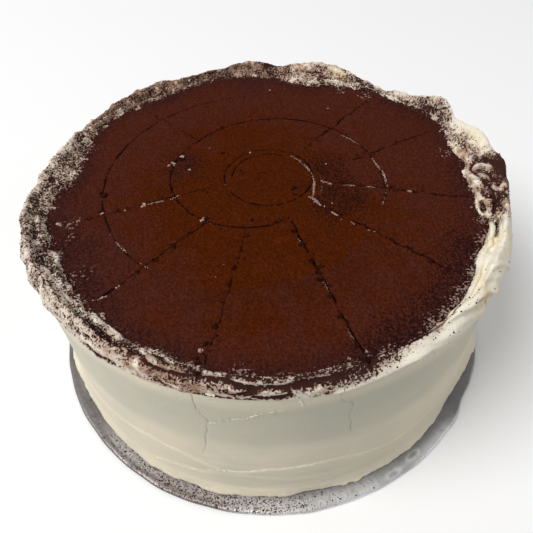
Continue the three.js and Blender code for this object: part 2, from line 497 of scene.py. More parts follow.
points = read_points(wall)
on_wall = to_polar(points)[1] > CAKE_RADIUS / 2
angle = np.interp((angle + 180) / 360, COLUMN_SHARES, COLUMN_ANGLES)
height = np.interp(share, ROW_SHARES, ROW_HEIGHTS)
steady = at_polar(angle, CAKE_RADIUS, height)

near_foot = np.exp(-np.clip(height, 0, None) / 3)
foot_wave = 0.7 * ripple(angle, 5) + 0.6 * grain(steady, 3.5, 3) + 0.35 * grain(steady, 1.6, 4)
radius = np.interp(height, *zip(*WALL_PROFILE))
radius += near_foot * (lobe_sum(FOOT_LOBES, angle) + foot_wave)
for at, spread, at_foot, above in FLARES:
    reach = at_foot * np.exp(-np.clip(height, 0, None) / FLARE_HEIGHT)
    reach += above * smooth_step(100, 70, height)
    radius += reach * lobe_sum([(at, spread, 1)], angle)
radius = np.minimum(radius, CARD_RADIUS - BARE_CARD)

over_ridge = height - line_height(RIDGE_LINE, angle) - 0.5 * ripple(angle, 7)
radius += RIDGE_HEIGHT * smooth_step(0.7, -0.7, over_ridge)
over_lower = height - line_height(LOWER_LINE, angle) - 0.4 * ripple(angle, 2)
lower = LOWER_RIDGE_HEIGHT * smooth_step(0.6, -0.6, over_lower)
radius += lower * smooth_step(-170, -140, angle) * smooth_step(-60, -95, angle)
waist_height, waist_spread, waist_depth = WAIST
waist = waist_depth * np.exp(-(((height - waist_height) / waist_spread) ** 2))
radius -= waist * lobe_sum([WAIST_LOBE], angle)
radius += 0.32 * grain(steady, 42, 5)
radius += 0.11 * grain(steady * (1, 1, 6), 26, 6) + 0.05 * grain(steady * (1, 1, 7), 9, 7)

flat = flat_on_wall(angle, height)
crack = np.zeros(len(points))
for path in CRACKS:
    away, along = distance_to_path(flat, flat_on_wall(*np.transpose(path)))
    fade = smooth_step(1, 0.75, along) * (0.6 + 0.4 * grain(steady, 3, 9))
    crack = np.maximum(crack, np.exp(-((away / CRACK_HALF_WIDTH) ** 2)) * fade)
radius -= CRACK_DEPTH * crack
for path in SMEARS:
    away, _ = distance_to_path(flat, flat_on_wall(*np.transpose(path)))
    uneven = 0.7 + 0.5 * grain(steady, 4, 8)
    radius += SMEAR_HEIGHT * np.exp(-((away / SMEAR_HALF_WIDTH) ** 2)) * uneven

shaped = at_polar(angle, radius, height + FOOT)
shaped[~on_wall] = points[~on_wall]
write_points(wall, shaped)
keep_attribute(wall, "crack", crack * on_wall)
# Painted shade: the wall is greyed below the crown, mostly at the front, and in the listed patches.
in_front = 0.35 + 0.65 * smooth_step(0.3, -0.2, np.sin(np.radians(angle)))
upper = smooth_step(48, 66, height + 5 * grain(steady, 20, 2)) * smooth_step(100, 90, height)
painted_wall_shade = in_front * upper
for at, spread, middle, width, amount in WALL_SHADE_PATCHES:
    band = amount * np.exp(-(((height - middle) / width) ** 2))
    painted_wall_shade += band * lobe_sum([(at, spread, 1)], angle)
keep_attribute(wall, "painted_wall_shade", np.clip(painted_wall_shade, 0, 1.4))
smooth_over(wall)
print("wall", count_triangles(wall), "triangles, foot out to", round(radius[on_wall].max(), 1))

# %% Finish of the wall
CRACK_SHADE = (0.33, 0.32, 0.25, 1)
WALL_PAINTED_SHADE = (0.545, 0.54, 0.435, 1)

wall_finish, tree, shader = new_material("wall_cream")
place = object_place(tree)
tone = place_group(tree, cream_tone, {"Vector": place})
# Painted shade greys and darkens the wall below the crown and in patches.
painted_wall_shade = calculate(tree, "MULTIPLY", attribute(tree, "painted_wall_shade"), 0.6)
colour = mix_colours(tree, painted_wall_shade, tone["Color"], WALL_PAINTED_SHADE)
cracked = calculate(tree, "MULTIPLY", attribute(tree, "crack"), 0.65)
colour = mix_colours(tree, cracked, colour, CRACK_SHADE)
tree.links.new(colour, shader.inputs["Base Color"])
tree.links.new(soften(tree, tone["Pores"], 0.3, 0.7, 0.5, 0.66), shader.inputs["Roughness"])
tree.links.new(bump(tree, tone["Pores"], 0.12), shader.inputs["Normal"])
shader.inputs["Specular IOR Level"].default_value = 0.3
wall.data.materials.append(wall_finish)
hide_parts("cream_cake")
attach(wall, "root")

# %% [markdown]
# The crown. Over the top edge the knife has pushed the cream up and inwards, so that it stands as a
# rough collar: a lip that overhangs the wall, a crest, a trough, an inner fold, and a feathered edge
# that lies on the cocoa. A cylinder without ends is the right start, because its dense grid of points
# can be rolled up: each upright row of it is laid along a closed curve through a few section points,
# which are the solid's own. Its two open ends then meet inside the cake and are merged, so that the
# crown is closed, and its skin is roughened on the way.

# %% The crown's grid
CROWN_AROUND = 1280
SPAN_STEPS = (3, 7, 8, 6, 6, 9, 8, 7, 8, 5, 2, 1, 2)
LIP_SPAN = 1
EDGE_SPAN = 9
CROWN_ROWS = sum(SPAN_STEPS)
TUBE_ENDS = (90, 120)

crown, tube_angle, share = add_tube("cream_crown", CROWN_AROUND, CROWN_ROWS, *TUBE_ENDS, "NOTHING")
column = np.round(tube_angle * CROWN_AROUND / 360).astype(int) % CROWN_AROUND
row = np.round(share * CROWN_ROWS).astype(int) % CROWN_ROWS
grid_index = column * CROWN_ROWS + row
print("crown points", len(crown.data.vertices))


def shoulder(angle):
    """1 where the crown's outer face slopes, at the front, and 0 where it stands upright."""
    front = smooth_step(-158, -146, angle) * smooth_step(-8, -22, angle)
    right = smooth_step(-22, -8, angle) * smooth_step(42, 30, angle)
    return front + 0.3 * right


def crown_controls(angle):
    """The section's points, as (radius, height over the cocoa), for each angle."""
    edge = cocoa_edge(angle)
    lip = CAKE_RADIUS + LIP_BULGE + lobe_sum(BULGE_LOBES, angle) + 0.6 * ripple(angle, 0)
    slope = shoulder(angle)
    crest = lip - CREST_INSET - SHOULDER_INSET * slope
    inward = crest - edge
    rise = CREST_RISE + lobe_sum(RISE_LOBES, angle) + ripple(angle, 1)
    trough = 0.4 + 0.08 * ripple(angle, 2)
    fold = 0.6 + 0.16 * ripple(angle, 3)
    hem = -LIP_DROP + 0.5 * ripple(angle, 6)
    pairs = [
        (CAKE_RADIUS - 1.5, hem - 0.6),
        (CAKE_RADIUS + 0.1, hem),
        (lip - 0.3 * slope, -(0.35 + 0.4 * slope) * LIP_DROP),
        (lip - 0.5 - 0.9 * slope, (0.6 - 0.55 * slope) * rise),
        (crest, rise),
        (crest - 0.2 * inward, 0.85 * rise),
        (crest - 0.42 * inward, trough * rise),
        (crest - 0.66 * inward, fold * rise),
        (crest - 0.86 * inward, 0.3 * rise),
        (edge + 0.3, 0.5),
        (edge - 3.2, -0.7),
        (edge - 1.5, -2.6),
        (CAKE_RADIUS - 6, -LIP_DROP),
    ]
    rows = [[np.broadcast_to(value, angle.shape) for value in pair] for pair in pairs]
    return np.array(rows).transpose(2, 0, 1)


# %% Lay the rings along the section
def curve_through(controls, steps):
    """Points on a smooth closed curve through the controls, with so many steps in each span."""
    rows = []
    for span, count in enumerate(steps):
        nearby = np.take(controls, range(span - 1, span + 3), axis=1, mode="wrap")
        before, start, end, after = nearby.swapaxes(0, 1)
        for share in np.arange(count) / count:
            straight = (end - before) * share
            bend = (2 * before - 5 * start + 4 * end - after) * share**2
            turn = (3 * start - before - 3 * end + after) * share**3
            rows.append(start + 0.5 * (straight + bend + turn))
    return np.stack(rows, axis=1)


ring_angle = turn_between(np.arange(CROWN_AROUND) * 360 / CROWN_AROUND, 0)
section = curve_through(crown_controls(ring_angle), SPAN_STEPS)
angle = np.repeat(ring_angle[:, None], section.shape[1], axis=1)
base = at_polar(angle, section[:, :, 0], section[:, :, 1] + COCOA_LEVEL)
span_of_row = np.repeat(np.arange(len(SPAN_STEPS)), SPAN_STEPS)
part_of_span = np.concatenate([np.arange(count) / count for count in SPAN_STEPS])
across = (span_of_row + part_of_span - LIP_SPAN) / (EDGE_SPAN - LIP_SPAN)
across = np.repeat(across[None, :], CROWN_AROUND, axis=0)


def grid_normals(grid):
    """The outward direction at each point of a grid that closes both ways."""
    round_way = np.roll(grid, -1, axis=0) - np.roll(grid, 1, axis=0)
    over_way = np.roll(grid, -1, axis=1) - np.roll(grid, 1, axis=1)
    outward = np.cross(round_way, over_way)
    return outward / np.linalg.norm(outward, axis=2, keepdims=True)


outward = grid_normals(base)
crest_row = sum(SPAN_STEPS[:4])
print("crown faces outward at the crest:", outward[0, crest_row, 2] > 0)

# %% [markdown]
# The crown's relief. Three things shape it: lumps of a few sizes where the knife tore the cream,
# strokes that the knife drew, and the curls at the right. The strokes that can be made out on the
# real cake are placed one by one. A ridge was wiped clean and a groove caught the cocoa, so a row of
# the tables gives a stroke's path through (angle, radius), its height, its half width and its change
# of cover. The paths were read off where they cross one level, so each point of the crown is first
# slid along the camera's line of sight to that level, and is then compared with the strokes there.
# So the camera has to come before the strokes.

# %% The camera
CAMERA_PLACE = (0, -0.21702, 0.28090 + CARD_TOP * MM)
CAMERA_AIM = (-0.00183, 0.03491, CARD_TOP * MM)
CAMERA_ROLL = -2.268
CAMERA_LENS = 33.59

look = (Vector(CAMERA_AIM) - Vector(CAMERA_PLACE)).to_track_quat("-Z", "Y").to_matrix()
roll = Euler((0, 0, math.radians(CAMERA_ROLL))).to_matrix()
bpy.ops.object.camera_add(location=CAMERA_PLACE, rotation=(look @ roll).to_euler())
camera = bpy.context.object
camera.data.lens = CAMERA_LENS
camera.data.clip_start = 0.01
bpy.context.scene.camera = camera

# %% Strokes and curls of the crown
READ_LEVEL = 112
STROKES_IN_FRONT = [
    ([(-97.8, 122.4), (-95.1, 124.2), (-92.4, 124.2), (-91.2, 125.2)], 1.2, 0.7, -0.75),
    ([(-89.6, 124.3), (-88, 124.4), (-86.4, 123.4)], 1.2, 0.85, -0.7),
    ([(-85.8, 123.2), (-80.9, 122.8), (-76.9, 122.3), (-74.4, 122)], 1.2, 1, -0.12),
    (
        [(-97.4, 124.6), (-95.3, 125.9), (-93.4, 126.6), (-91.1, 126.6), (-89, 126.5), (-87, 125.8)],
        -1.2, 0.9, 1.1,
    ),
    ([(-87.6, 125.7), (-85.2, 126), (-81.7, 125.7), (-78.6, 125.4)], -1.1, 1.5, 0.15),
    ([(-97.9, 126.4), (-96.5, 128.1), (-95, 127.9)], 1.1, 0.8, -0.9),
    ([(-92.7, 126.8), (-91.3, 128.3), (-89.5, 128.6), (-88.4, 128.4)], 1.1, 0.9, -0.9),
    ([(-87, 127.4), (-85.9, 129), (-84.5, 129.8), (-82.5, 128.6), (-80.9, 127.8)], 1, 0.9, -0.8),
    ([(-96.9, 129.5), (-95.5, 129.4), (-93.9, 128.3), (-92.9, 127.6)], -0.9, 0.8, 1),
    ([(-93.3, 130.4), (-90.9, 130.8), (-88.8, 130.5), (-87.6, 129.7)], -0.6, 1.1, 1),
    ([(-105, 130.8), (-100.9, 130.7), (-98.9, 131.1), (-96.3, 131.4), (-92.9, 131.8)], -0.3, 0.6, 1),
    ([(-103.4, 121.9), (-100.9, 122.4), (-98.4, 121.9)], 0.9, 0.7, -0.8),
    ([(-104.2, 123.8), (-100, 123.8), (-98, 123.8)], -0.8, 0.6, 0.9),
    ([(-103.9, 126.9), (-100.8, 127.6), (-98.7, 127.7)], 0.5, 1.8, -0.35),
]
STROKES_FRONT_LEFT = [
    ([(-115.7, 119.9), (-113.4, 122.3), (-110.8, 123.3), (-107.8, 123), (-105.3, 122.7)], 1.2, 0.75, -0.55),
    ([(-115.1, 122.3), (-112.4, 124.4), (-109.4, 125.1), (-106.8, 124.5), (-104.9, 124.3)], -1.2, 0.9, 1.1),
    ([(-110.6, 120.1), (-108.3, 121)], 0.5, 0.7, -0.8),
    ([(-131.5, 116.3), (-127.8, 118.2), (-123.8, 118.1), (-119.2, 119)], 0.7, 0.7, -0.15),
    ([(-130.7, 120.1), (-125.1, 121.4), (-121.2, 122.1), (-118.9, 123.1)], -1.1, 1.2, 0.1),
    ([(-133.7, 122.7), (-129, 124), (-125.4, 124.7), (-119.7, 126)], 0.9, 1, -0.3),
    ([(-130, 126), (-125.1, 126.2)], -0.6, 0.5, 0.8),
    ([(-127, 128.4), (-122.9, 129.3), (-118.4, 129.8)], -0.6, 0.7, 1),
    ([(-127.3, 127.3), (-122.2, 127.7), (-117.3, 128.4)], 0.7, 0.8, -0.6),
    ([(-115.9, 125.3), (-113.3, 127.5), (-111.7, 126.7)], 1.1, 1.4, -0.5),
    ([(-113.4, 130.5), (-109.8, 130.1), (-105.4, 130.7)], 0.1, 0.7, 0.6),
]
STROKES_AT_LEFT = [
    ([(-169.5, 117.5), (-161.5, 118.8), (-152, 117.2), (-145.3, 116.4), (-137, 117.4)], -0.7, 1, 0.1),
    ([(-149.5, 112), (-144.7, 113.5), (-140.3, 114), (-137.4, 115.2)], -1.2, 0.6, 1),
    ([(-151.2, 120.8), (-143.9, 119.8), (-139, 119.7), (-135.8, 118.8)], 1, 1.2, -0.4),
    ([(-151.2, 114.2), (-148.8, 115)], 1.2, 1.3, -0.7),
    ([(-163.2, 125.7), (-152.7, 125.9), (-149.2, 127.9), (-143.6, 128.7), (-135.4, 126.8)], 0.6, 1.8, -0.3),
    ([(137.9, 105.4), (136.6, 111.4), (136, 119)], 1.2, 1.2, -0.9),
    ([(119.1, 111), (119.6, 116.4)], 1, 1.3, -0.7),
]
STROKES_AT_BACK = [
    ([(74.8, 134.3), (70.2, 131.4)], 0.8, 2, -0.8), ([(67.1, 127.4), (62.5, 123.5)], 0.8, 2.4, -0.9),
    ([(68.3, 110.6), (62.1, 112.7)], 1, 1.4, -0.7), ([(89.9, 128.1), (80.8, 126.9)], -0.8, 2.4, 0.5),
    ([(75.6, 119.6), (69.9, 120.9)], -1.3, 1.7, 0.9), ([(51.8, 123.1), (46.1, 121)], -1.8, 2.2, 0.9),
    ([(39.1, 117.3), (36.3, 120.1)], 1, 1.6, -0.4), ([(29.9, 123), (28.9, 131.2)], -1.5, 0.9, 0.6),
    ([(99.7, 121.5), (93.7, 119.6)], 0.9, 2, -0.2), ([(108.5, 124.8), (103.6, 123.1)], -1, 1.6, 0.3),
    ([(19.1, 131), (14, 129.8), (9, 128.6)], 0.6, 5, -0.9),
]
STROKES_AT_RIGHT = [
    ([(13, 109.6), (8.4, 110.4), (3, 112.4)], 1, 2.6, -1),
    ([(-0.2, 112.4), (1.5, 116.8), (0.9, 122), (-1.4, 120.7)], 1.8, 1.2, -1.15),
    ([(-6.8, 119.6), (-8.4, 122.8), (-5.9, 125.6)], 1.7, 1.2, -1),
    ([(-1.4, 107.5), (-4.3, 110.7), (-7.6, 112.2)], 1.8, 2.4, -1.2),
    (
        [(-11.6, 111.4), (-13.7, 109.8), (-17, 109.7), (-19.3, 112), (-18.7, 115), (-16.3, 115.8)],
        1.7, 1, -1.2,
    ),
    ([(-13.9, 112.9), (-16.9, 113.2)], -1.7, 1.4, 1.2), ([(-9.1, 109.4), (-11.6, 111.4)], 0.9, 1.1, -1.3),
    ([(3.8, 115.1), (-0.2, 110.9), (-5, 115.4), (-8.9, 117.8)], -1.3, 0.8, 0.8),
    ([(-9, 118.8), (-13.5, 118.2), (-18, 117.7), (-21.4, 118.3)], -1.3, 0.8, 0.8),
    ([(4.5, 118), (3, 125.8), (-1.4, 129.2), (-5.8, 128.9)], -0.5, 2.6, 0.45),
    ([(-2, 115.2), (-4.5, 118.3)], 1.3, 0.7, -1.5), ([(-1.4, 117.7), (-3.9, 121.7)], -1.4, 1.4, 0.6),
    ([(-7.6, 121.2), (-6.1, 123.4)], -1.2, 0.9, 0.9), ([(-11.7, 120.3), (-16.1, 121.7)], -1.1, 1.4, 0.15),
    ([(-20.8, 116.8), (-23.5, 117.6), (-26.1, 117.6)], 1.4, 0.8, -0.6),
    ([(-19.8, 119.2), (-23, 119.6), (-26, 119.6)], -1, 0.7, 0.7),
    ([(-26.5, 116.8), (-29.7, 118.8)], 1.2, 1, -0.4),
    ([(-18.6, 123.3), (-27.9, 126.8)], 1, 1.5, -0.2),
]
STROKES_FRONT_RIGHT = [
    ([(-50.5, 123.1), (-44.4, 125), (-40, 128.9)], 2.4, 1.2, -0.5),
    ([(-49.8, 126.4), (-43.8, 128.7), (-39, 130.9)], -2.4, 1.4, -0.3),
    ([(-58.5, 119.9), (-54.9, 122.4), (-50.4, 123.4)], 1.1, 0.8, -0.4),
    ([(-58.9, 118.3), (-55.3, 120.4), (-51.1, 121.1)], -1, 0.7, 0.4),
    ([(-41.6, 122.5), (-38.5, 126.6)], -1.3, 1.2, -0.2),
    ([(-36.1, 121.3), (-33.4, 124.9), (-34.3, 128.9)], 1.2, 1.2, -0.3),
    ([(-62.7, 124.2), (-58.1, 126.8), (-53.5, 128.5)], 0.7, 1.2, -0.2),
    (
        [(-81.7, 132.4), (-73.9, 130), (-66, 128.2), (-61.1, 128.1), (-57.3, 129), (-52, 129.2)],
        1.1, 0.8, -0.3,
    ),
    ([(-76, 128), (-66, 127.6), (-57, 127), (-46, 127), (-34, 126.6), (-24, 126)], 1.2, 1.7, -0.15),
]
STROKES = (
    STROKES_IN_FRONT
    + STROKES_FRONT_LEFT
    + STROKES_AT_LEFT
    + STROKES_AT_BACK
    + STROKES_AT_RIGHT
    + STROKES_FRONT_RIGHT
)
TAN_CREASES = [
    [(-59, 122.6), (-55.8, 122.5), (-52.6, 122.1), (-48.7, 121.2)],
    [(-46.5, 124.6), (-42, 126)],
    [(-112, 127.6), (-107.5, 126.4)],
]
CREASE_HALF_WIDTH = 0.75
CREASE_DEPTH = 0.9
print("strokes", len(STROKES), "creases", len(TAN_CREASES))

# %% Draw the strokes on the crown
sight = Vector(CAMERA_PLACE) / MM
eye = np.array((sight.x, sight.y, sight.z - FOOT))
ray = base.reshape(-1, 3) - eye
read_at = eye + ray * ((READ_LEVEL - eye[2]) / ray[:, 2])[:, None]
read_angle, read_radius = to_polar(read_at)
read_flat = np.stack([np.radians(read_angle) * CAKE_RADIUS, read_radius], axis=-1)


def stroke_on(flat, path, half_width):
    """How strongly each point feels a stroke: 1 on its line, and less beside it and at its ends."""
    line = [(math.radians(angle) * CAKE_RADIUS, radius) for angle, radius in path]
    away, along = distance_to_path(flat, line)
    ends = np.clip(6 * along * (1 - along), 0, 1)
    return (0.4 + 0.6 * ends) * np.exp(-((away / half_width) ** 2))


drawn = np.zeros(len(read_flat))
swept = np.zeros(len(read_flat))
creases = np.zeros(len(read_flat))
for path in TAN_CREASES:
    creases += stroke_on(read_flat, path, CREASE_HALF_WIDTH)
drawn -= CREASE_DEPTH * creases
for path, rise, half_width, change in STROKES:
    felt = stroke_on(read_flat, path, half_width)
    drawn += rise * felt
    swept += change * felt

# %% Free strokes between the drawn ones
FREE_STROKES = 260
FREE_RADII = (108, 129)
LEVEL_STROKES_BETWEEN = (-150, -15)
CALM_BETWEEN = (-128, -20)
CALM_SHARE = 0.4

draw = np.random.default_rng(11)
for _ in range(FREE_STROKES):
    start = draw.uniform(-180, 180)
    steepest = 1 if LEVEL_STROKES_BETWEEN[0] < start < LEVEL_STROKES_BETWEEN[1] else 4
    steepness = draw.uniform(-steepest, steepest)
    start_radius = draw.uniform(*FREE_RADII)
    length = draw.uniform(2, 6) / (1 + 0.2 * abs(steepness))
    height = draw.uniform(-0.8, 1) * (CALM_SHARE if CALM_BETWEEN[0] < start < CALM_BETWEEN[1] else 1)
    path = [(start, start_radius), (start + length, start_radius + 1.6 * steepness)]
    drawn += height * stroke_on(read_flat, path, draw.uniform(0.6, 1.2))
print("drawn relief from", drawn.min(), "to", drawn.max())

# %% Lumps, the torn edge and the two notches
ROUGH_LOBES = [
    (180, 32, 1), (140, 28, 0.9), (95, 26, 0.9), (55, 20, 0.8), (20, 18, 0.9), (-10, 14, 0.7),
    (-92, 26, 0.4), (-125, 14, 0.5), (-148, 12, 0.7), (-45, 20, 0.15), (-30, 8, 0.35),
]
NOTCH_ANGLES = (-71.8, -103.4)
NOTCH_HALF_WIDTH = 1.1
NOTCH_SHARE = 0.85
NOTCH_FLOOR = 0.4

steady = base.reshape(-1, 3)
angle = angle.ravel()
across = across.ravel()
outward = outward.reshape(-1, 3)
rough = np.clip(lobe_sum(ROUGH_LOBES, angle), 0.15, 1)
feather = 0.7 * grain(steady, 2.8, 27) + 0.4 * grain(steady, 1.6, 28)
lumps = 0.85 * grain(steady, 6, 12) + 0.5 * grain(steady, 2.8, 13) + 0.32 * grain(steady, 1.4, 14)
free = smooth_step(-0.05, 0.12, across) * smooth_step(1.4, 1.2, across)
torn = smooth_step(0.72, 1.0, across) * (0.7 * feather + 0.35 * grain(steady, 2.2, 15))
skin = rough * lumps + (0.04 + 0.16 * rough) * grain(steady, 1.25, 21) + (0.2 + 0.7 * rough) * torn
wiped = 1 - 0.75 * np.clip(-swept, 0, 1)
relief = free * (drawn + wiped * skin)

notch = np.zeros(len(angle))
for at in NOTCH_ANGLES:
    aside = np.radians(angle - at) * CAKE_RADIUS
    notch = np.maximum(notch, np.exp(-((aside / NOTCH_HALF_WIDTH) ** 2)))
notch *= smooth_step(0.2, 0.4, across) * free
placed = steady + outward * relief[:, None]
sunk = np.clip(placed[:, 2] - COCOA_LEVEL - NOTCH_FLOOR, 0, None)
placed[:, 2] -= NOTCH_SHARE * notch * sunk
placed[:, 2] += FOOT
write_points(crown, placed[grid_index])
smooth_over(crown)
print("crown", count_triangles(crown), "triangles, top at", round(placed[:, 2].max(), 1))

# %% [markdown]
# Where the cocoa lies on the crown. The sieve was moved round by hand, so some stretches of the crown
# are nearly bare and others nearly covered. Each stretch is a patch, (angle, spread, place across,
# half its width, amount), where the place across the crown is 0 at the lip and 1 at the edge that
# lies on the cocoa. Powder also collects in troughs and falls off ridges, so the relief is taken away
# from the cover. Two more sets of patches go with it: the stain that damp cocoa leaves in the cream,
# which also fills the tan creases, and the places where single loose grains lie.

# %% Cover of cocoa on the crown
COVER_PATCHES = [
    (-175, 22, 0.7, 0.36, 0.54), (-160, 14, 0.2, 0.25, 0.3), (158, 20, 0.7, 0.34, 0.46),
    (129, 20, 0.7, 0.34, 0.42), (104, 14, 0.7, 0.32, 0.42), (86, 9, 0.72, 0.3, 0.6),
    (110, 50, 0.4, 0.2, 0.18), (70, 8, 0.8, 0.3, 0.52), (56, 9, 0.65, 0.35, 0.46),
    (52, 4, 0.75, 0.3, 0.4), (37, 10, 0.74, 0.32, 0.6), (27, 7, 0.8, 0.3, 0.52),
    (14, 6, 0.85, 0.25, 0.4), (8, 8, 0.8, 0.3, 0.3), (-2, 8, 0.5, 0.34, 0.82),
    (-13, 6, 0.62, 0.26, 0.75), (-20, 5, 0.9, 0.15, 0.45), (-30, 8, 1, 0.1, 0.45),
    (-44, 16, 1.04, 0.12, 0.45), (-61, 7, 0.9, 0.2, 0.55), (-62, 9, 0.66, 0.3, 0.72),
    (-71, 6, 0.62, 0.3, 0.62), (-74, 8, 0.3, 0.14, 0.36), (-82, 8, 0.5, 0.38, 0.84),
    (-93, 8, 0.5, 0.4, 0.87), (-104, 8, 0.5, 0.4, 0.68), (-115, 9, 0.55, 0.4, 0.56),
    (-130, 11, 0.55, 0.42, 0.54), (-151, 13, 0.64, 0.44, 0.48), (-145, 16, 0.1, 0.14, 0.34),
]
STAIN_PATCHES = [
    (-6, 11, 0.55, 0.5, 1.85), (9, 6, 1, 0.3, 1.3), (28, 8, 0.7, 0.4, 0.6), (40, 8, 0.6, 0.4, 0.5),
    (60, 18, 0.65, 0.4, 0.5), (98, 22, 0.55, 0.7, 2.3), (135, 24, 0.55, 0.7, 2.1),
    (-172, 24, 0.8, 0.35, 0.6), (-172, 12, 0.12, 0.25, 1.1), (-112, 14, 0.3, 0.35, 1.05),
    (-106, 8, 0.3, 0.25, 0.8), (-88, 12, 0.5, 0.5, 0.6), (-72, 8, 0.3, 0.35, 0.3),
    (-134, 12, 0.3, 0.3, 0.25),
]
DOTTED_PATCHES = [
    (-66, 9, 0.35, 0.2, 0.6), (-62, 9, 0.6, 0.25, 1.2), (-50, 6, 0.4, 0.3, 0.4),
    (-86, 10, 0.3, 0.22, 0.18), (-112, 14, 0.3, 0.22, 0.14), (-145, 20, 0.3, 0.22, 0.3),
    (-31, 10, 0.3, 0.22, 0.07), (12, 14, 0.3, 0.22, 0.14),
]
YELLOW_LOBES = [
    (64, 4, 0.9), (13, 5, 0.5), (-15, 4, 0.8), (-27, 4, 0.7), (-41, 5, 0.6), (133, 6, 0.4),
]
CREASE_STAIN = 0.9
CREASE_CLEANED = 0.8

facing_up = grid_normals(placed.reshape(base.shape))[:, :, 2].ravel()


def spread_over(patches):
    """Soft patches on the crown, added up at each of its points."""
    total = np.zeros(len(angle))
    for at, spread, middle, width, amount in patches:
        near = np.exp(-((turn_between(angle, at) / spread) ** 2))
        total += amount * near * np.exp(-(((across - middle) / width) ** 2))
    return total


dotted = spread_over(DOTTED_PATCHES)
cover = spread_over(COVER_PATCHES)
cover += smooth_step(0.86, 1.1, across) * (0.5 + 0.7 * feather)
cover -= 0.24 * np.clip(relief, -1.2, 1.2) * np.clip(4 * cover, 0, 1)
cover += (0.2 * grain(steady, 5, 22) + 0.22 * feather) * np.clip(3 * cover, 0, 1)
patchy = swept * np.clip(0.8 + 0.6 * grain(steady, 2.0, 23) + 0.35 * feather, 0.2, 1.2)
cover += 0.75 * np.clip(patchy, 0, None)
cover *= 1 - 0.85 * np.clip(-patchy, 0, 1)
cover *= smooth_step(-0.1, 0.35, facing_up) * (1 - CREASE_CLEANED * np.clip(creases, 0, 1))
cover = np.clip(cover + 0.5 * notch, 0, 1.15)
keep_attribute(crown, "cover", cover[grid_index])
stain = spread_over(STAIN_PATCHES)
stain *= np.clip(0.6 + 0.6 * grain(steady, 2.2, 24) + 0.35 * feather, 0, 1.3)
keep_attribute(crown, "stain", np.clip(stain + CREASE_STAIN * creases, 0, 1.8)[grid_index])
# Painted shade tints the relief's grooves yellow; the yellow lobes are the cream's own warmer tone.
groove_shade = 0.7 * np.clip(-drawn - 0.3, 0, 1) * np.clip(1 - 3 * cover, 0, 1)
yellow_and_crease_shade = lobe_sum(YELLOW_LOBES, angle) + groove_shade
keep_attribute(crown, "yellow_and_crease_shade", np.clip(yellow_and_crease_shade, 0, 1)[grid_index])
print("mean cover", round(float(cover[(across > 0) & (across < 1)].mean()), 2))

# %% Close the crown
MERGE_WITHIN = 0.01
bpy.context.view_layer.objects.active = crown
bpy.ops.object.mode_set(mode="EDIT")
bpy.ops.mesh.select_all(action="SELECT")
bpy.ops.mesh.remove_doubles(threshold=MERGE_WITHIN * MM)
bpy.ops.object.mode_set(mode="OBJECT")
print("crown points after merging", len(crown.data.vertices))

# %% Finish of the crown
CROWN_WHITE = (0.88, 0.825, 0.73, 1)
CREAM_STAINED = (0.37, 0.205, 0.13, 1)

crown_finish, tree, shader = new_material("crown_cream")
place = object_place(tree)
tone = place_group(tree, cream_tone, {"Vector": place})
patch = soften(tree, noise(tree, place, 7), 0.38, 0.58)
# The yellow value is the cream's own yellow tone and painted shade in the grooves.
yellow_and_crease_shade = calculate(tree, "MULTIPLY", attribute(tree, "yellow_and_crease_shade"), patch)
colour = mix_colours(tree, yellow_and_crease_shade, mix_colours(tree, 0.6, tone["Color"], CROWN_WHITE), CREAM_YELLOW)
stain = attribute(tree, "stain")
stained = mix_colours(tree, soften(tree, stain, 0.8, 1.8, 0, 0.8), CREAM_STAINED, DUST_FILM)
colour = mix_colours(tree, soften(tree, stain, 0, 1.1, 0, 0.9), colour, stained)
colour, mask = dusted(tree, colour, place, attribute(tree, "cover"), 1.05, 0.92)
tree.links.new(colour, shader.inputs["Base Color"])
tree.links.new(soften(tree, mask, 0, 1, 0.5, 0.95), shader.inputs["Roughness"])
rise = calculate(tree, "ADD", calculate(tree, "MULTIPLY", mask, 0.5), tone["Pores"])
tree.links.new(bump(tree, rise, 0.25), shader.inputs["Normal"])
shader.inputs["Specular IOR Level"].default_value = 0.14
crown.data.materials.append(crown_finish)
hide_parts("cream_cake")
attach(crown, "root")

# %% [markdown]
# The cocoa. The powder lies as an even layer, slightly rolling where the cream under it does, and
# the portion marker has pressed rings and spokes into it. It is a square grid, trimmed to the crown's
# inner edge, with its rim extruded down and closed. To keep the pressed lines crisp on a square grid,
# the points nearest to a line are first slid sideways onto it, and only then pressed down. A spoke is
# given by its two ends, and an arc by its centre, radius, first and last angle and weight.

# %% The cocoa's grid
GRID_SPACING = 0.72
COCOA_REACH = 124
UNDER_CROWN = 2.5
GRID_CELLS = round(2 * COCOA_REACH / GRID_SPACING)

clear_selection()
bpy.ops.mesh.primitive_grid_add(
    x_subdivisions=GRID_CELLS,
    y_subdivisions=GRID_CELLS,
    size=2 * COCOA_REACH * MM,
    location=(0, 0, cocoa_high.z),
)
cocoa = name_and_settle("cocoa_top")
angle, radius = to_polar(read_points(cocoa))
bpy.context.tool_settings.mesh_select_mode = (True, False, False)
bpy.ops.object.mode_set(mode="EDIT")
bpy.ops.mesh.select_all(action="DESELECT")
bpy.ops.object.mode_set(mode="OBJECT")
cocoa.data.vertices.foreach_set("select", radius > cocoa_edge(angle) + UNDER_CROWN)
bpy.ops.object.mode_set(mode="EDIT")
bpy.ops.mesh.delete(type="VERT")
bpy.ops.mesh.select_all(action="SELECT")
bpy.ops.mesh.region_to_loop()
bpy.ops.mesh.extrude_edges_move(TRANSFORM_OT_translate={"value": (0, 0, -COCOA_THICKNESS * MM)})
bpy.ops.mesh.edge_face_add()
bpy.ops.object.mode_set(mode="OBJECT")
print("cocoa points", len(cocoa.data.vertices))

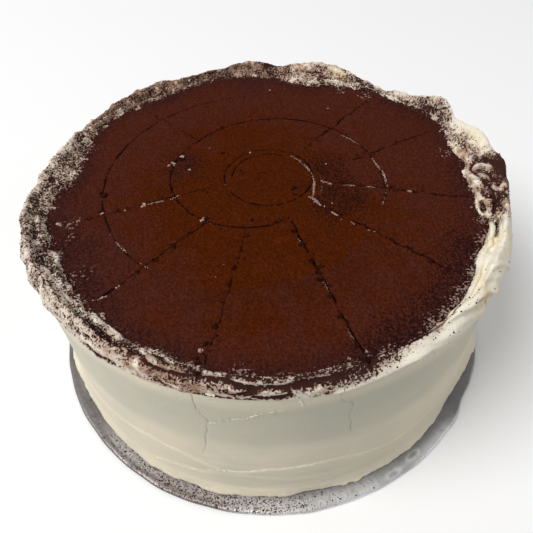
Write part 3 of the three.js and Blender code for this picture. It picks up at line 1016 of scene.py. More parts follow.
# %% The pressed lines
SCORE_LINES = [
    ((12.5, -32.3), (37.9, -114.6)), ((-10.4, -38.4), (-27.4, -116.6)),
    ((-31.8, -30.1), (-77.7, -79.7)), ((-30.7, -2.1), (-96.5, -26.8)),
    ((-39.8, 42.3), (-78.1, 80)), ((23.8, 31.2), (77.5, 92.3)),
    ((49.7, 17.8), (104.1, 45)), ((35.1, -1.4), (106.6, -18.6)), ((23.9, -15.8), (82.8, -68)),
]
LINE_WEIGHTS = (0.85, 0.5, 0.8, 0.65, 0.5, 0.8, 0.7, 0.65, 0.75)
SCORE_ARCS = [
    ((1.6, 5.9), 24.6, 0, 360, 0.8), ((-8.9, 9.5), 44.6, 133, 296, 0.9),
    ((5, 7.1), 56.7, 48, 142, 1.15), ((-6.3, -0.9), 70.7, -19, 46, 0.6),
    ((-2.9, 6.3), 86.8, 96, 228, 0.8), ((1.6, 5.9), 20.3, 66, 178, 1.05),
    ((1.6, 5.9), 26.6, 150, 232, 0.4), ((1.6, 5.9), 28.4, -50, 20, 0.4),
    ((-1.5, 6), 3.4, 0, 360, 0.5),
]
ARC_STEP = 4
LINE_STEP = 3.5
SCORE_DEPTH = 1.0
SCORE_HALF_WIDTH = 0.49

draw = np.random.default_rng(5)


def wobbly(path, amount):
    """The path with each of its inner points moved a little."""
    path = np.array(path, float)
    path[1:-1] += draw.uniform(-amount, amount, path[1:-1].shape)
    return path


def line_path(start, end):
    """A slightly crooked line, in steps of a few millimetres."""
    steps = max(4, round(math.dist(start, end) / LINE_STEP))
    return wobbly(np.linspace(start, end, steps + 1), 0.6)


def arc_path(centre, radius, first, last):
    """A slightly crooked arc, in steps of a few degrees."""
    steps = max(3, round((last - first) / ARC_STEP))
    turn = np.radians(np.linspace(first, last, steps + 1))
    x = centre[0] + radius * np.cos(turn)
    y = centre[1] + radius * np.sin(turn)
    return wobbly(np.stack([x, y], axis=-1), 0.2)


marks = [(line_path(*line), weight) for line, weight in zip(SCORE_LINES, LINE_WEIGHTS)]
marks += [(arc_path(*arc), weight) for *arc, weight in SCORE_ARCS]
print("pressed lines", len(marks))

# %% Slide the points onto the lines
NEAR_LINE = 4
BANK_AWAY = 1.3
BANK_HALF_WIDTH = 0.7


def slide_onto(flat, path):
    """Moves the flat points that are within half a cell of the path onto it."""
    for start, end in zip(path[:-1], path[1:]):
        length = math.dist(start, end)
        ahead = (end - start) / length
        aside = np.array((-ahead[1], ahead[0]))
        along = (flat - start) @ ahead
        off = (flat - start) @ aside
        close = (along >= 0) & (along <= length) & (np.abs(off) < GRID_SPACING / 2)
        flat[close] -= off[close, None] * aside


points = read_points(cocoa)
upper = points[:, 2] > COCOA_LEVEL + FOOT - COCOA_THICKNESS / 2
score = np.zeros(len(points))
bank = np.zeros(len(points))
for path, weight in marks:
    low, high = path.min(axis=0) - NEAR_LINE, path.max(axis=0) + NEAR_LINE
    near = np.flatnonzero(upper & np.all((points[:, :2] > low) & (points[:, :2] < high), axis=1))
    flat = points[near, :2]
    slide_onto(flat, path)
    points[near, :2] = flat
    away, _ = distance_to_path(flat, path)
    broken = 0.62 + 0.5 * grain(points[near], 5, 31) + 0.35 * grain(points[near], 1.8, 32)
    half_width = SCORE_HALF_WIDTH * np.clip(0.75 + 0.9 * grain(points[near], 3.2, 30), 0.45, 1.6)
    line = weight * np.clip(broken, 0.12, 1.2) * np.exp(-((away / half_width) ** 2))
    score[near] = np.maximum(score[near], line)
    side_ridge = weight * np.exp(-(((away - BANK_AWAY) / BANK_HALF_WIDTH) ** 2))
    side_ridge *= np.clip(0.4 + grain(points[near], 2.5, 33), 0, 1)
    bank[near] = np.maximum(bank[near], side_ridge)
print("pressed points", int((score > 0.3).sum()))

# %% [markdown]
# Tone and relief of the cocoa. The powder is warmest in the middle and cooler towards the crown, where
# it is also darker, and a few patches near the crown are darkened further as painted shade. Some
# stretches of it are rough and full of dark clots. A dimple marks the marker's centre, and at the front
# a faint, wide arc shows, outside which the powder is a little lower, cooler and darker. Each of these
# is a value kept on the points, because it belongs to a place.

# %% Tone and relief of the cocoa
DIMPLE_CENTRE = (-1.5, 6)
DIMPLE_RADIUS = 3
STEP_CENTRE = (-12.8, 0.9)
STEP_RADIUS = 76.1
STEP_FADE = 16
STEP_BEGINS = (-118, -98)
STEP_ENDS = (-28, -48)
STEP_HEIGHT = 0.2
STEP_WARMING = 0.32
STEP_COOLING = 0.18
STEP_DARKENING = 0.35
POWDER_PATCHES = [
    (34.3, 13.6, 10, 1), (38.4, 0.2, 11, 1), (42.5, -13.2, 10, 0.9), (33, -25, 10, 0.95),
    (20, 18, 7, 0.4), (33.5, -16.1, 8, 0.8), (47, -21, 9, 0.65), (-46, 21, 11, 1.05),
    (-50.7, 10.5, 9, 0.55), (64, -8, 9, 0.5), (-33.6, 4.3, 9, 0.35), (-54.2, -13.5, 8, 0.4),
    (94.6, -59.5, 12, 0.8), (84.2, -75, 11, 1), (18, -3, 7, 0.45),
    (75, -85.8, 10, 1), (65.9, -93.7, 10, 1), (53.9, -101.4, 10, 1), (42.8, -108.2, 10, 0.9),
    (93.3, -48.7, 10, 0.4), (-92.2, -52.3, 13, 0.45), (-80.7, -72, 11, 0.4), (-103.7, -30.4, 13, 0.4),
    (-107.3, -1, 12, 0.4), (105, 6.3, 12, 0.4), (99.5, -24.1, 14, 0.2), (29.7, 103.8, 14, 0.35),
    (-62.4, 93.8, 12, 0.4), (85.6, 62.6, 14, 0.4),
]
SHADED_PATCHES = [
    (-92, -52, 18, 0.9), (-104, -26, 14, 0.7), (-72, -76, 14, 0.6), (-6, 103, 14, 0.7),
    (-108, 5, 10, 0.4),
]
WARM_PATCHES = [
    (0, 0, 52, 1), (2, -56, 46, 0.68), (-56, -14, 32, 0.5), (50, -44, 32, 0.45), (0, 60, 34, 0.2),
    (-14, -92, 30, 0.4), (-34, 40, 28, 0.3),
]


def patch_sum(patches, middle):
    """Soft round patches on the cocoa: each is (x, y, radius, amount)."""
    total = np.zeros(len(middle))
    for x, y, radius, amount in patches:
        total += amount * np.exp(-(((middle[:, 0] - x) ** 2 + (middle[:, 1] - y) ** 2) / radius**2))
    return total


angle, radius = to_polar(points)
rim = smooth_step(14, 0, cocoa_edge(angle) - radius)
powder = np.clip(patch_sum(POWDER_PATCHES, points) + 0.35 * rim + 0.25 * grain(points, 9, 34), 0, 1)
warmth = np.clip(patch_sum(WARM_PATCHES, points) + 0.12 * grain(points, 16, 35), 0, 1)
_, from_dimple = to_polar(points[:, :2] - DIMPLE_CENTRE)
dimple = np.exp(-((from_dimple / DIMPLE_RADIUS) ** 4))
step_turn, from_step = to_polar(points[:, :2] - STEP_CENTRE)
past_step = from_step - STEP_RADIUS + 0.8 * grain(points, 9, 45)
step_share = smooth_step(*STEP_BEGINS, step_turn) * smooth_step(*STEP_ENDS, step_turn)
step_share *= np.exp(-((past_step / STEP_FADE) ** 2))
inside = smooth_step(0.8, -0.8, past_step)
warmth = np.clip(warmth + step_share * (STEP_WARMING * inside - STEP_COOLING), 0, 1)
lift = 0.35 * grain(points, 38, 36) + 0.16 * grain(points, 11, 37) + 0.09 * grain(points, 2.6, 38)
lift += STEP_HEIGHT * step_share * inside
lift += 0.15 * grain(points, 1.5, 39) * (0.8 + 0.6 * powder)
lift += 0.3 * powder * np.clip(grain(points, 1.7, 40), 0, 1)
lift += 0.25 * bank - SCORE_DEPTH * np.clip(score, 0, 1) - 0.5 * dimple + 0.5 * rim
points[upper, 2] += lift[upper]
write_points(cocoa, points)
keep_attribute(cocoa, "score", np.clip(score, 0, 1) * upper)
keep_attribute(cocoa, "powder", powder)
keep_attribute(cocoa, "warmth", warmth)
# Painted shade: the shaded patches near the crown darken the cocoa as if the crown shaded it.
shaded = rim + patch_sum(SHADED_PATCHES, points) + STEP_DARKENING * step_share * (1 - inside)
keep_attribute(cocoa, "rim", np.clip(shaded, 0, 1))
smooth_over(cocoa)
print("cocoa", count_triangles(cocoa), "triangles")

# %% Cream that shows through the cocoa
CREAM_SMEARS = [
    ([(14.1, 24.3), (21.6, 16.3)], 0.55, 0.95), ([(21.6, 16.3), (25.9, 5.8)], 0.65, 1.05),
    ([(25.9, 5.8), (26.5, -1.3), (24.7, -14)], 0.75, 1.1),
    ([(29, 8.3), (31.4, -0.9), (30, -7.7), (27.8, -12.4)], 0.5, 0.6),
    ([(21.8, -12.7), (25.6, -16.1), (28.3, -21.4)], 0.9, 1.05), ([(33.4, -26.4), (35.8, -29.4)], 0.9, 0.95),
    ([(41.4, -34), (43.4, -36.4)], 0.6, 0.75), ([(50, -40.4), (52.8, -41.9)], 0.6, 0.85),
    ([(30.5, -0.8), (36.1, -4.5)], 0.9, 1), ([(42, -5.2), (47.8, -5.9)], 0.7, 0.9),
    ([(53.6, -6.7), (59.3, -8.4)], 0.7, 0.9), ([(46.7, 42.7), (51.3, 38.1), (55.9, 32.5)], 0.6, 0.85),
    ([(60.9, 19), (62.5, 13.9), (64.1, 7.7)], 0.75, 1), ([(65, 6.6), (65.6, -0.3), (65.2, -7.1)], 0.7, 1),
    ([(65.2, -7.1), (61.6, -18.5), (59.4, -23.2)], 0.5, 0.7),
    ([(-62.7, -15.6), (-58.4, -14), (-54.8, -13)], 0.7, 0.9), ([(-50, -11.4), (-47.2, -9)], 0.5, 0.75),
    ([(-32.5, -29.3), (-25.5, -32.1)], 0.6, 0.8), ([(-22.6, -0.1), (-19.9, -5.5)], 0.5, 0.7),
    ([(15, -44.8), (16.8, -48)], 0.5, 0.7), ([(25.1, -74.7), (26.8, -79.9)], 0.5, 0.8),
    ([(32.4, -101.3), (34.1, -105.4)], 0.5, 0.8), ([(37.8, -109.7), (38.5, -113.8)], 0.8, 0.9),
    ([(-74.8, -42.9), (-71.8, -46.3), (-68.9, -49.7)], 0.6, 0.95),
    ([(-62, -56.5), (-56.1, -61.2)], 0.5, 0.75), ([(-80.6, -35), (-76.7, -39.6)], 0.5, 0.65),
    ([(-79.1, -79.4), (-72.6, -76.9)], 0.9, 0.9), ([(28.9, -111.9), (31.7, -114.1)], 0.7, 0.8),
    ([(41.6, -112.1), (48.5, -110.7)], 0.9, 0.7), ([(-14.3, -117), (-7.2, -116.6)], 0.5, 0.7),
]
FRINGE_PATCHES = [
    (67.6, -97.8, 4, 0.55), (73.7, -92.5, 3, 0.5), (85.8, -80, 4, 0.5), (92.9, -72, 4, 0.62),
    (99.2, -62, 4, 0.62), (104.6, -50, 4, 0.6), (-86.5, -62.2, 5, 0.24), (-97.8, -39.3, 4, 0.2),
    (-13.4, -118, 4, 0.3), (-101.4, -28.6, 4, 0.25), (-110.2, 3.5, 4, 0.3), (-103.8, 37.9, 4, 0.25),
    (67.8, 87.9, 5, 0.3), (24.2, 110.6, 6, 0.35), (52.9, 97.1, 5, 0.3), (103, 20.2, 4, 0.35),
    (47.5, -111.6, 4, 0.4), (79.5, -86.5, 4, 0.4), (107.5, -36, 4, 0.4), (108.5, -25, 4, 0.35),
]
SMEAR_THINNING = 0.75
SMEAR_LIFT = 0.35

bared = np.zeros(len(points))
for path, half_width, strength in CREAM_SMEARS:
    away, along = distance_to_path(points[:, :2], path)
    ends = np.clip(8 * along * (1 - along), 0.3, 1)
    thin = SMEAR_THINNING * half_width * np.clip(0.8 + 0.8 * grain(points, 2.5, 44), 0.4, 1.5)
    bared = np.maximum(bared, strength * ends * np.exp(-((away / thin) ** 2)))
fringe = patch_sum(FRINGE_PATCHES, points) + 0.16 * smooth_step(3.5, 0, cocoa_edge(angle) - radius)
keep_attribute(cocoa, "bared", bared * upper)
keep_attribute(cocoa, "fringe", fringe * upper)
points[:, 2] += SMEAR_LIFT * np.clip(bared, 0, 1) * upper
write_points(cocoa, points)
print("bared points", int((bared > 0.4).sum()))

# %% Finish of the cocoa
COCOA_WARM = (0.069, 0.0121, 0.0014, 1)
COCOA_COOL = (0.069, 0.0152, 0.0080, 1)
COCOA_RIM = (0.046, 0.0140, 0.0118, 1)
COCOA_DARK = (0.018, 0.0058, 0.0058, 1)
COCOA_PRESSED_AND_SHADED = (0.0060, 0.0022, 0.0018, 1)
CREAM_THIN = (0.36, 0.25, 0.21, 1)

cocoa_finish, tree, shader = new_material("cocoa_powder")
place = object_place(tree)
slow = soften(tree, noise(tree, place, 14, 3), 0.35, 0.65, -0.22, 0.22)
warm = calculate(tree, "ADD", attribute(tree, "warmth"), slow)
colour = mix_colours(tree, soften(tree, warm, 0, 1), COCOA_COOL, COCOA_WARM)
# Painted shade: darker near the crown, and darker still in the shaded patches.
darker_rim_and_shade = calculate(tree, "MULTIPLY", attribute(tree, "rim"), 0.7)
colour = mix_colours(tree, darker_rim_and_shade, colour, COCOA_RIM)
clot = noise(tree, place, 1.1, 3)
powdery = calculate(tree, "MULTIPLY", attribute(tree, "powder"), 0.62)
clotted = calculate(tree, "ADD", soften(tree, clot, 0.32, 0.68), powdery)
colour = mix_colours(tree, soften(tree, clotted, 0.96, 1.2, 0, 0.86), colour, COCOA_DARK)
fine = noise(tree, place, 1.3, 2)
shade = soften(tree, fine, 0.3, 0.7, 0.76, 1.26)
lighter = node(tree, "HueSaturation", {"Value": shade, "Color": colour}).outputs[0]
# The pressed lines go nearly black: pressed powder, and painted shade in the grooves.
colour = mix_colours(tree, soften(tree, attribute(tree, "score"), 0.10, 0.5), lighter, COCOA_PRESSED_AND_SHADED)
rough = soften(tree, noise(tree, place, 0.9, 2), 0.3, 0.7)
patchy = calculate(tree, "MULTIPLY", rough, 0.75)
bared = soften(tree, calculate(tree, "ADD", patchy, attribute(tree, "bared")), 0.85, 1.15)
strand = soften(tree, noise(tree, place, 1.3, 3), 0.3, 0.7)
fringe = soften(tree, calculate(tree, "ADD", strand, attribute(tree, "fringe")), 0.98, 1.14, 0, 0.8)
colour = mix_colours(tree, calculate(tree, "MAXIMUM", bared, fringe), colour, CREAM_THIN)
tree.links.new(colour, shader.inputs["Base Color"])
tree.links.new(soften(tree, fine, 0.3, 0.7, 0.9, 1.0), shader.inputs["Roughness"])
grit = calculate(tree, "ADD", calculate(tree, "MULTIPLY", clot, 0.7), fine)
tree.links.new(bump(tree, grit, 1.15), shader.inputs["Normal"])
shader.inputs["Specular IOR Level"].default_value = 0.02
cocoa.data.materials.append(cocoa_finish)
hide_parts("cocoa_layer")
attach(cocoa, "root")

# %% [markdown]
# The card. It is a disc of pressed board, faced with silver foil that is folded under all round, so
# that its edge is crimped into fine teeth, and the foil near the edge is slightly rolled over. It is
# a cylinder: its top and bottom are inset many times to give close rings of points, and the rings are
# then set to the rolled section. The foil is metal with a soft, crumpled gloss. It is dull at the
# left and the front left, where painted shade also dims its rolled edge. At the right and near the
# cake painted shade darkens it, and it is scuffed in two places.

# %% The card's grid
CARD_AROUND = 2400
INSETS = (0.5, 0.7, 0.8, 0.8, 0.8, 0.8, 0.8, 0.8, 0.8, 1, 3, 5)

clear_selection()
bpy.ops.mesh.primitive_cylinder_add(
    vertices=CARD_AROUND,
    radius=CARD_RADIUS * MM,
    depth=CARD_TOP * MM,
    location=(0, 0, CARD_TOP / 2 * MM),
)
card = name_and_settle("foil_card")
bpy.context.tool_settings.mesh_select_mode = (False, False, True)
bpy.ops.object.mode_set(mode="EDIT")
bpy.ops.mesh.select_all(action="DESELECT")
bpy.ops.object.mode_set(mode="OBJECT")
card.data.polygons.foreach_set("select", [abs(face.normal.z) > 0.5 for face in card.data.polygons])
bpy.ops.object.mode_set(mode="EDIT")
for step in INSETS:
    bpy.ops.mesh.inset(thickness=step * MM, use_boundary=True)
bpy.ops.object.mode_set(mode="OBJECT")
print("card points", len(card.data.vertices))

# %% The card's rolled and crimped edge
INSET_DROPS = (0.75, 0.36, 0.14, 0.05, 0.02, 0, 0, 0, 0, 0, 0, 0, 0)
CRIMP_EVERY = 4
CRIMP_DEPTH = 0.22
CARD_DENTS = [(-41, 3, 0.8), (-34, 4, -1.4)]
EDGE_FADE = 1.5
BUCKLE = 0.10

points = read_points(card)
angle, radius = to_polar(points)
inward = CARD_RADIUS - radius
ring = np.interp(inward, np.cumsum((0, *INSETS)), np.arange(len(INSETS) + 1))
drop = np.array(INSET_DROPS)[np.round(ring).astype(int)]
side = np.sign(points[:, 2] - CARD_TOP / 2)
tooth = np.round((angle + 180) * CARD_AROUND / 360) % CRIMP_EVERY
crimp = CRIMP_DEPTH * (tooth < CRIMP_EVERY / 2)
edge_shift = lobe_sum(CARD_DENTS, angle) - crimp + 0.25 * ripple(angle, 3) - 0.3
radius = radius + np.exp(-inward / EDGE_FADE) * edge_shift
on_rim = at_polar(angle, CARD_RADIUS, 0 * angle)
buckle = BUCKLE * grain(on_rim, 14, 41) * smooth_step(126, 139, radius)
level = np.where(side > 0, CARD_TOP - drop + buckle - 0.1, 0.7 * drop)
write_points(card, at_polar(angle, radius, level))
print("card out to", round(radius.max(), 1))

# %% Dull, shaded and scuffed stretches of the foil
CARD_COVER_LOBES = [(-106, 14, 0.33), (-88, 10, 0.18), (-128, 14, 0.2), (-72, 10, 0.08)]
DULL_LOBES = [(-165, 30, 1), (-143, 9, 0.45), (-114, 20, 0.75)]
SHADE_LOBES = [(-14, 30, 1.3), (-56, 18, 0.6), (-90, 30, 0.25), (30, 40, 0.7)]
INNER_SHADE_LOBES = [(-81, 12, 1)]
RIM_SHADE_LOBES = [(-60, 6, 1), (-80, 5, 0.6), (-40, 6, 0.6)]
SCUFFS = [(-55.2, 135.3), (-62, 137)]
SCUFF_LENGTH = 4.2
SCUFF_WIDTH = 1.4

card_cover = np.clip(lobe_sum(CARD_COVER_LOBES, angle), 0.02, 1)
keep_attribute(card, "cover", card_cover * smooth_step(0, 0.4, side))
dull_and_edge_shade = lobe_sum(DULL_LOBES, angle)
# Painted shade dims the rolled edge at the front left.
dull_and_edge_shade *= 1 + 1.2 * smooth_step(135, 138.5, radius) * smooth_step(-92, -110, angle)
keep_attribute(card, "dull_and_edge_shade", np.clip(dull_and_edge_shade, 0, 1.1))
# Painted shade: darker where the cake shades the foil, at the right, near the foot and on the rim.
reach = 7 * smooth_step(-48, -30, angle)
shade = np.clip(lobe_sum(SHADE_LOBES, angle), 0, 1) * smooth_step(139, 132.5, radius - reach)
shade += 0.4 * smooth_step(134.5, 131.5, radius) * lobe_sum(INNER_SHADE_LOBES, angle)
shade += 0.45 * smooth_step(136.6, 138.4, radius) * lobe_sum(RIM_SHADE_LOBES, angle)
# The two scuffs, darker inside a lighter ring, share the value of the painted shade.
for at, centre in SCUFFS:
    aside = np.radians(angle - at) * CARD_RADIUS / SCUFF_LENGTH
    spread = np.hypot(aside, (radius - centre) / SCUFF_WIDTH)
    shade += 0.3 * np.exp(-((spread / 0.7) ** 2)) - 0.35 * np.exp(-(((spread - 1.15) / 0.3) ** 2))
keep_attribute(card, "shade", np.clip(shade, 0, 1))
keep_attribute(card, "streak", grain(on_rim, 1.1, 42))
smooth_over(card)
print("card", count_triangles(card), "triangles")

# %% Finish of the card
FOIL = (0.84, 0.835, 0.84, 1)
FOIL_SMUDGED = (0.55, 0.545, 0.56, 1)
FOIL_DULL_AND_SHADED = (0.20, 0.186, 0.18, 1)
FOIL_SHADE = (0.10, 0.10, 0.102, 1)

card_finish, tree, shader = new_material("foil")
place = object_place(tree)
crumple = noise(tree, place, 2.2, 5)
smudge = soften(tree, noise(tree, place, 12, 3), 0.35, 0.7)
colour = mix_colours(tree, calculate(tree, "MULTIPLY", smudge, 0.35), FOIL, FOIL_SMUDGED)
# The dull colour also holds painted shade on the rolled edge at the front left.
colour = mix_colours(tree, calculate(tree, "MULTIPLY", attribute(tree, "dull_and_edge_shade"), 0.9), colour, FOIL_DULL_AND_SHADED)
# Painted shade darkens the foil by the shade value, which also holds the two scuffs.
colour = mix_colours(tree, calculate(tree, "MULTIPLY", attribute(tree, "shade"), 0.8), colour, FOIL_SHADE)
streaked = soften(tree, attribute(tree, "streak"), -0.6, 0.6, 0.95, 1.04)
colour = node(tree, "HueSaturation", {"Value": streaked, "Color": colour}).outputs[0]
colour, mask = dusted(tree, colour, place, attribute(tree, "cover"), 1.1, 0.28)
tree.links.new(colour, shader.inputs["Base Color"])
tree.links.new(soften(tree, mask, 0, 1, 0.85, 0.0), shader.inputs["Metallic"])
tree.links.new(soften(tree, smudge, 0, 1, 0.42, 0.6), shader.inputs["Roughness"])
tree.links.new(bump(tree, crumple, 0.25), shader.inputs["Normal"])
card.data.materials.append(card_finish)
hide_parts("cake_board")
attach(card, "root")

# %% [markdown]
# Loose bits. The marker lifted cream through the cocoa along its lines, and crumbs of pressed cocoa
# lie where it was pulled out. The sieve also dropped single grains on the bare cream of the crown and
# on the card, and the knife left thin burrs of cream along the wall's ridges and smears. There are
# hundreds of each, so one small icosphere is copied to every place, stretched, turned and roughened,
# and all the copies of a kind are one mesh. Flecks and crumbs are set on the surface that a ray finds
# below them, burrs on the wall that a ray finds inward of them, and grains on points already known.

# %% Helpers for loose bits
RAY_FROM = 0.2


def ball_template(rounds):
    """The corners and faces of a small icosphere, with a radius of 1."""
    clear_selection()
    bpy.ops.mesh.primitive_ico_sphere_add(subdivisions=rounds, radius=MM)
    ball = bpy.context.object
    corners = read_points(ball)
    faces = np.array([face.vertices[:] for face in ball.data.polygons])
    bpy.ops.object.delete()
    return corners, faces


def height_under(x, y):
    """The height of the crown, the cocoa or the card at this place, in millimetres."""
    for piece in (crown, cocoa, card):
        hit, place, _, _ = piece.ray_cast((x * MM, y * MM, RAY_FROM), (0, 0, -1))
        if hit:
            return place.z / MM
    return CARD_TOP


def scatter(name, places, sizes, turns, rounds):
    """One mesh of many lumps: a place, a size along three axes and a turn for each."""
    corners, faces = ball_template(rounds)
    rough = draw.uniform(0.72, 1.28, (len(places), len(corners), 1))
    lumps = corners * rough * np.array(sizes)[:, None, :]
    cos, sin = np.cos(turns)[:, None], np.sin(turns)[:, None]
    x, y, z = np.moveaxis(lumps, -1, 0)
    turned = np.stack([x * cos - y * sin, x * sin + y * cos, z], axis=-1)
    points = (turned + np.array(places)[:, None, :]).reshape(-1, 3)
    numbers = (faces + len(corners) * np.arange(len(places))[:, None, None]).reshape(-1, 3)
    mesh = bpy.data.meshes.new(name)
    mesh.from_pydata((points * MM).tolist(), [], numbers.tolist())
    piece = bpy.data.objects.new(name, mesh)
    bpy.context.collection.objects.link(piece)
    smooth_over(piece)
    print(name, len(places), "lumps", count_triangles(piece), "triangles")
    return piece


def finish_bits(piece, finish, values):
    """Gives all points of a piece the same values, and the piece its finish."""
    for name, value in values.items():
        keep_attribute(piece, name, np.full(len(piece.data.vertices), value))
    piece.data.materials.append(finish)


# %% Flecks of cream
FLECK_LINES = [
    ([(19, 19.4), (25.9, 5.8)], 0.25), ([(25.9, 5.8), (26.5, -1.3), (24.7, -14)], 0.36),
    ([(22.8, -13.8), (25.5, -17.1), (28.3, -21.4)], 0.5), ([(33.4, -26.4), (35.8, -29.4)], 0.5),
    ([(41.4, -34), (43.4, -36.4)], 0.3), ([(50, -40.4), (52.8, -41.9)], 0.35),
    ([(15, -44.8), (16.8, -48)], 0.22), ([(24.2, -72), (26.8, -79.9)], 0.22),
    ([(32, -99), (34.1, -105.4)], 0.25),
    ([(30.5, -0.8), (36.1, -4.5)], 0.45), ([(42, -5.2), (47.8, -5.9)], 0.35),
    ([(53.6, -6.7), (59.3, -8.4)], 0.35), ([(46.7, 42.7), (55.9, 32.5)], 0.3),
    ([(60.9, 19), (64.1, 7.7)], 0.35), ([(65, 6.6), (65.2, -7.1)], 0.35),
    ([(-62.7, -15.6), (-55, -13.2)], 0.28), ([(-51, -11.9), (-46.7, -8.3)], 0.3),
    ([(-74.8, -42.9), (-68.9, -49.7)], 0.3), ([(37.8, -109.7), (38.5, -113.8)], 0.45),
    ([(-79.1, -79.4), (-72.6, -76.9)], 0.45), ([(67.5, -98.8), (71.6, -95.2), (76.5, -92.8)], 0.35),
]
FLECK_SPOTS = [
    (-52.2, 19.9, 0.8), (-48.7, 26.5, 0.8), (-55.5, 18.2, 0.4), (-64.8, -16.4, 0.8), (-33.5, -28.2, 0.9),
    (-8.7, 28.3, 0.4), (-32.9, 33.6, 0.4), (-43.3, 13.6, 0.5), (-21.1, -59.9, 0.2), (-24.6, -67.6, 0.2),
    (-74.4, -19.3, 0.45), (-86.1, -21, 0.5), (-97, -26, 0.9), (-106.8, -29, 1), (-69.1, -71.1, 0.6),
    (-28.9, -106.6, 0.8), (-31.4, -114.4, 0.7), (4.5, 99.7, 0.6), (41.7, 74.1, 0.35), (76.5, -11.5, 0.75),
    (30.2, -21.6, 0.35), (34.3, -19.1, 0.3), (37.4, -32.4, 0.35), (34.3, 14.6, 0.4),
]
FLECK_EVERY = 0.5
FLECKS_PER_SPOT = 5
LINE_FLECK_LENGTH = 1.5
SPOT_FLECK_LENGTH = 1.3
FLECK_TONE = {"cover": 0.3, "yellow_and_crease_shade": 0, "stain": 0.8}

draw = np.random.default_rng(21)
bits = []
for path, size in FLECK_LINES:
    for start, end in zip(path[:-1], path[1:]):
        turn = math.atan2(end[1] - start[1], end[0] - start[0])
        for share in np.arange(0, 1, FLECK_EVERY / math.dist(start, end)):
            x, y = np.add(start, np.subtract(end, start) * share) + draw.normal(0, 0.3 * size + 0.1, 2)
            bits.append((x, y, size * draw.uniform(0.3, 0.85), turn, LINE_FLECK_LENGTH))
for x, y, size in FLECK_SPOTS:
    for _ in range(FLECKS_PER_SPOT):
        spot = draw.normal((x, y), 0.8 * size)
        smaller = size * draw.uniform(0.4, 1)
        bits.append((*spot, smaller, draw.uniform(0, 3), SPOT_FLECK_LENGTH))
places = [(x, y, height_under(x, y) + 0.15 * size) for x, y, size, turn, length in bits]
sizes = [(size * length, size, 0.6 * size) for x, y, size, turn, length in bits]
turns = [turn for x, y, size, turn, length in bits]
flecks = scatter("cream_flecks", places, sizes, turns, 2)
finish_bits(flecks, crown_finish, FLECK_TONE)
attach(flecks, "root")

# %% Crumbs of cocoa
CRUMB_SPOTS = [
    (15.3, -5.9, 1.1), (15, -10.8, 0.9), (-45.9, -47.1, 1.1), (-38.1, -37.8, 0.8), (-31.4, -28.4, 1.2),
    (-8.2, -30.1, 0.8), (-10.9, -41.8, 0.9), (-13.5, -51.6, 0.8), (-16.1, -62.4, 0.9), (-18.8, -72.2, 0.7),
    (6.8, -30.8, 0.8), (4.7, -32.6, 0.8), (1.6, -34.2, 0.7), (13.3, -39.6, 1.1), (16.7, -48.9, 1.2),
    (20, -60.3, 1.2), (23.8, -63.7, 0.9), (22.6, -66.5, 1.1), (23.3, -71.6, 1.3), (26.7, -80.9, 1.2),
    (34.1, -106.4, 1.2), (37.6, -113.7, 1.8), (59.9, -47.8, 1), (67.2, -54.6, 1.4), (75.4, -62.3, 1.2),
    (81.8, -67.9, 1), (68.1, -7.5, 0.9), (89.6, -15.1, 0.9), (99, -17.2, 0.9), (-88.5, -7.4, 1.8),
    (-86.1, -20, 1.1), (-53.6, -55.4, 1), (-61.3, -62.7, 0.9), (-24.2, -94.9, 1.2), (-26.7, -103.7, 1.2),
    (-29.3, -112.6, 1.3), (-32.2, -7, 0.6), (31.7, 37.8, 0.7), (68.3, 79, 0.8), (53.3, 22, 0.8),
    (42.4, 18.5, 0.7), (23.4, 31, 0.7), (-25, 28.5, 0.9), (-14.8, 11, 0.8), (-12.9, 8.7, 0.7),
    (-48.9, 24.5, 1.6), (30, -92.1, 1), (-23.9, -22.2, 0.5),
]
CRUMBS_PER_SPOT = 6
CRUMBS_ON_LINES = 360
CRUMBLY_ARCS = 4
CRUMB_SPREAD = 0.65

bits = []
for x, y, size in CRUMB_SPOTS:
    for _ in range(CRUMBS_PER_SPOT):
        spot = draw.normal((x, y), CRUMB_SPREAD * size)
        bits.append((*spot, size * draw.uniform(0.35, 0.8)))
for _ in range(CRUMBS_ON_LINES):
    path, _ = marks[draw.integers(len(SCORE_LINES) + CRUMBLY_ARCS)]
    x, y = path[draw.integers(len(path))] + draw.normal(0, 0.9, 2)
    bits.append((x, y, draw.uniform(0.25, 0.6)))
places = [(x, y, height_under(x, y) + 0.2 * size) for x, y, size in bits]
sizes = [(1.2 * size, size, 0.75 * size) for x, y, size in bits]
crumbs = scatter("cocoa_crumbs", places, sizes, draw.uniform(0, 3, len(bits)), 1)

# %% Grains of cocoa on the crown and the card
GRAINS_ON_CROWN = 1300
GRAINS_ON_CARD = 330
GRAIN_SIZES = (0.14, 0.34)
CARD_GRAINS_AT = (-104, 15)
CARD_GRAINS_BELT = (131.5, 139)
COARSE_GRAINS = [(-62, 14, 0.4)]
# The score value gives crumbs and grains part of the pressed lines' near-black, painted shade included.
COCOA_BIT_TONE = {
    "score": 0.31, "powder": 0.3, "warmth": 0.1, "rim": 0.8, "bared": 0, "fringe": 0,
}

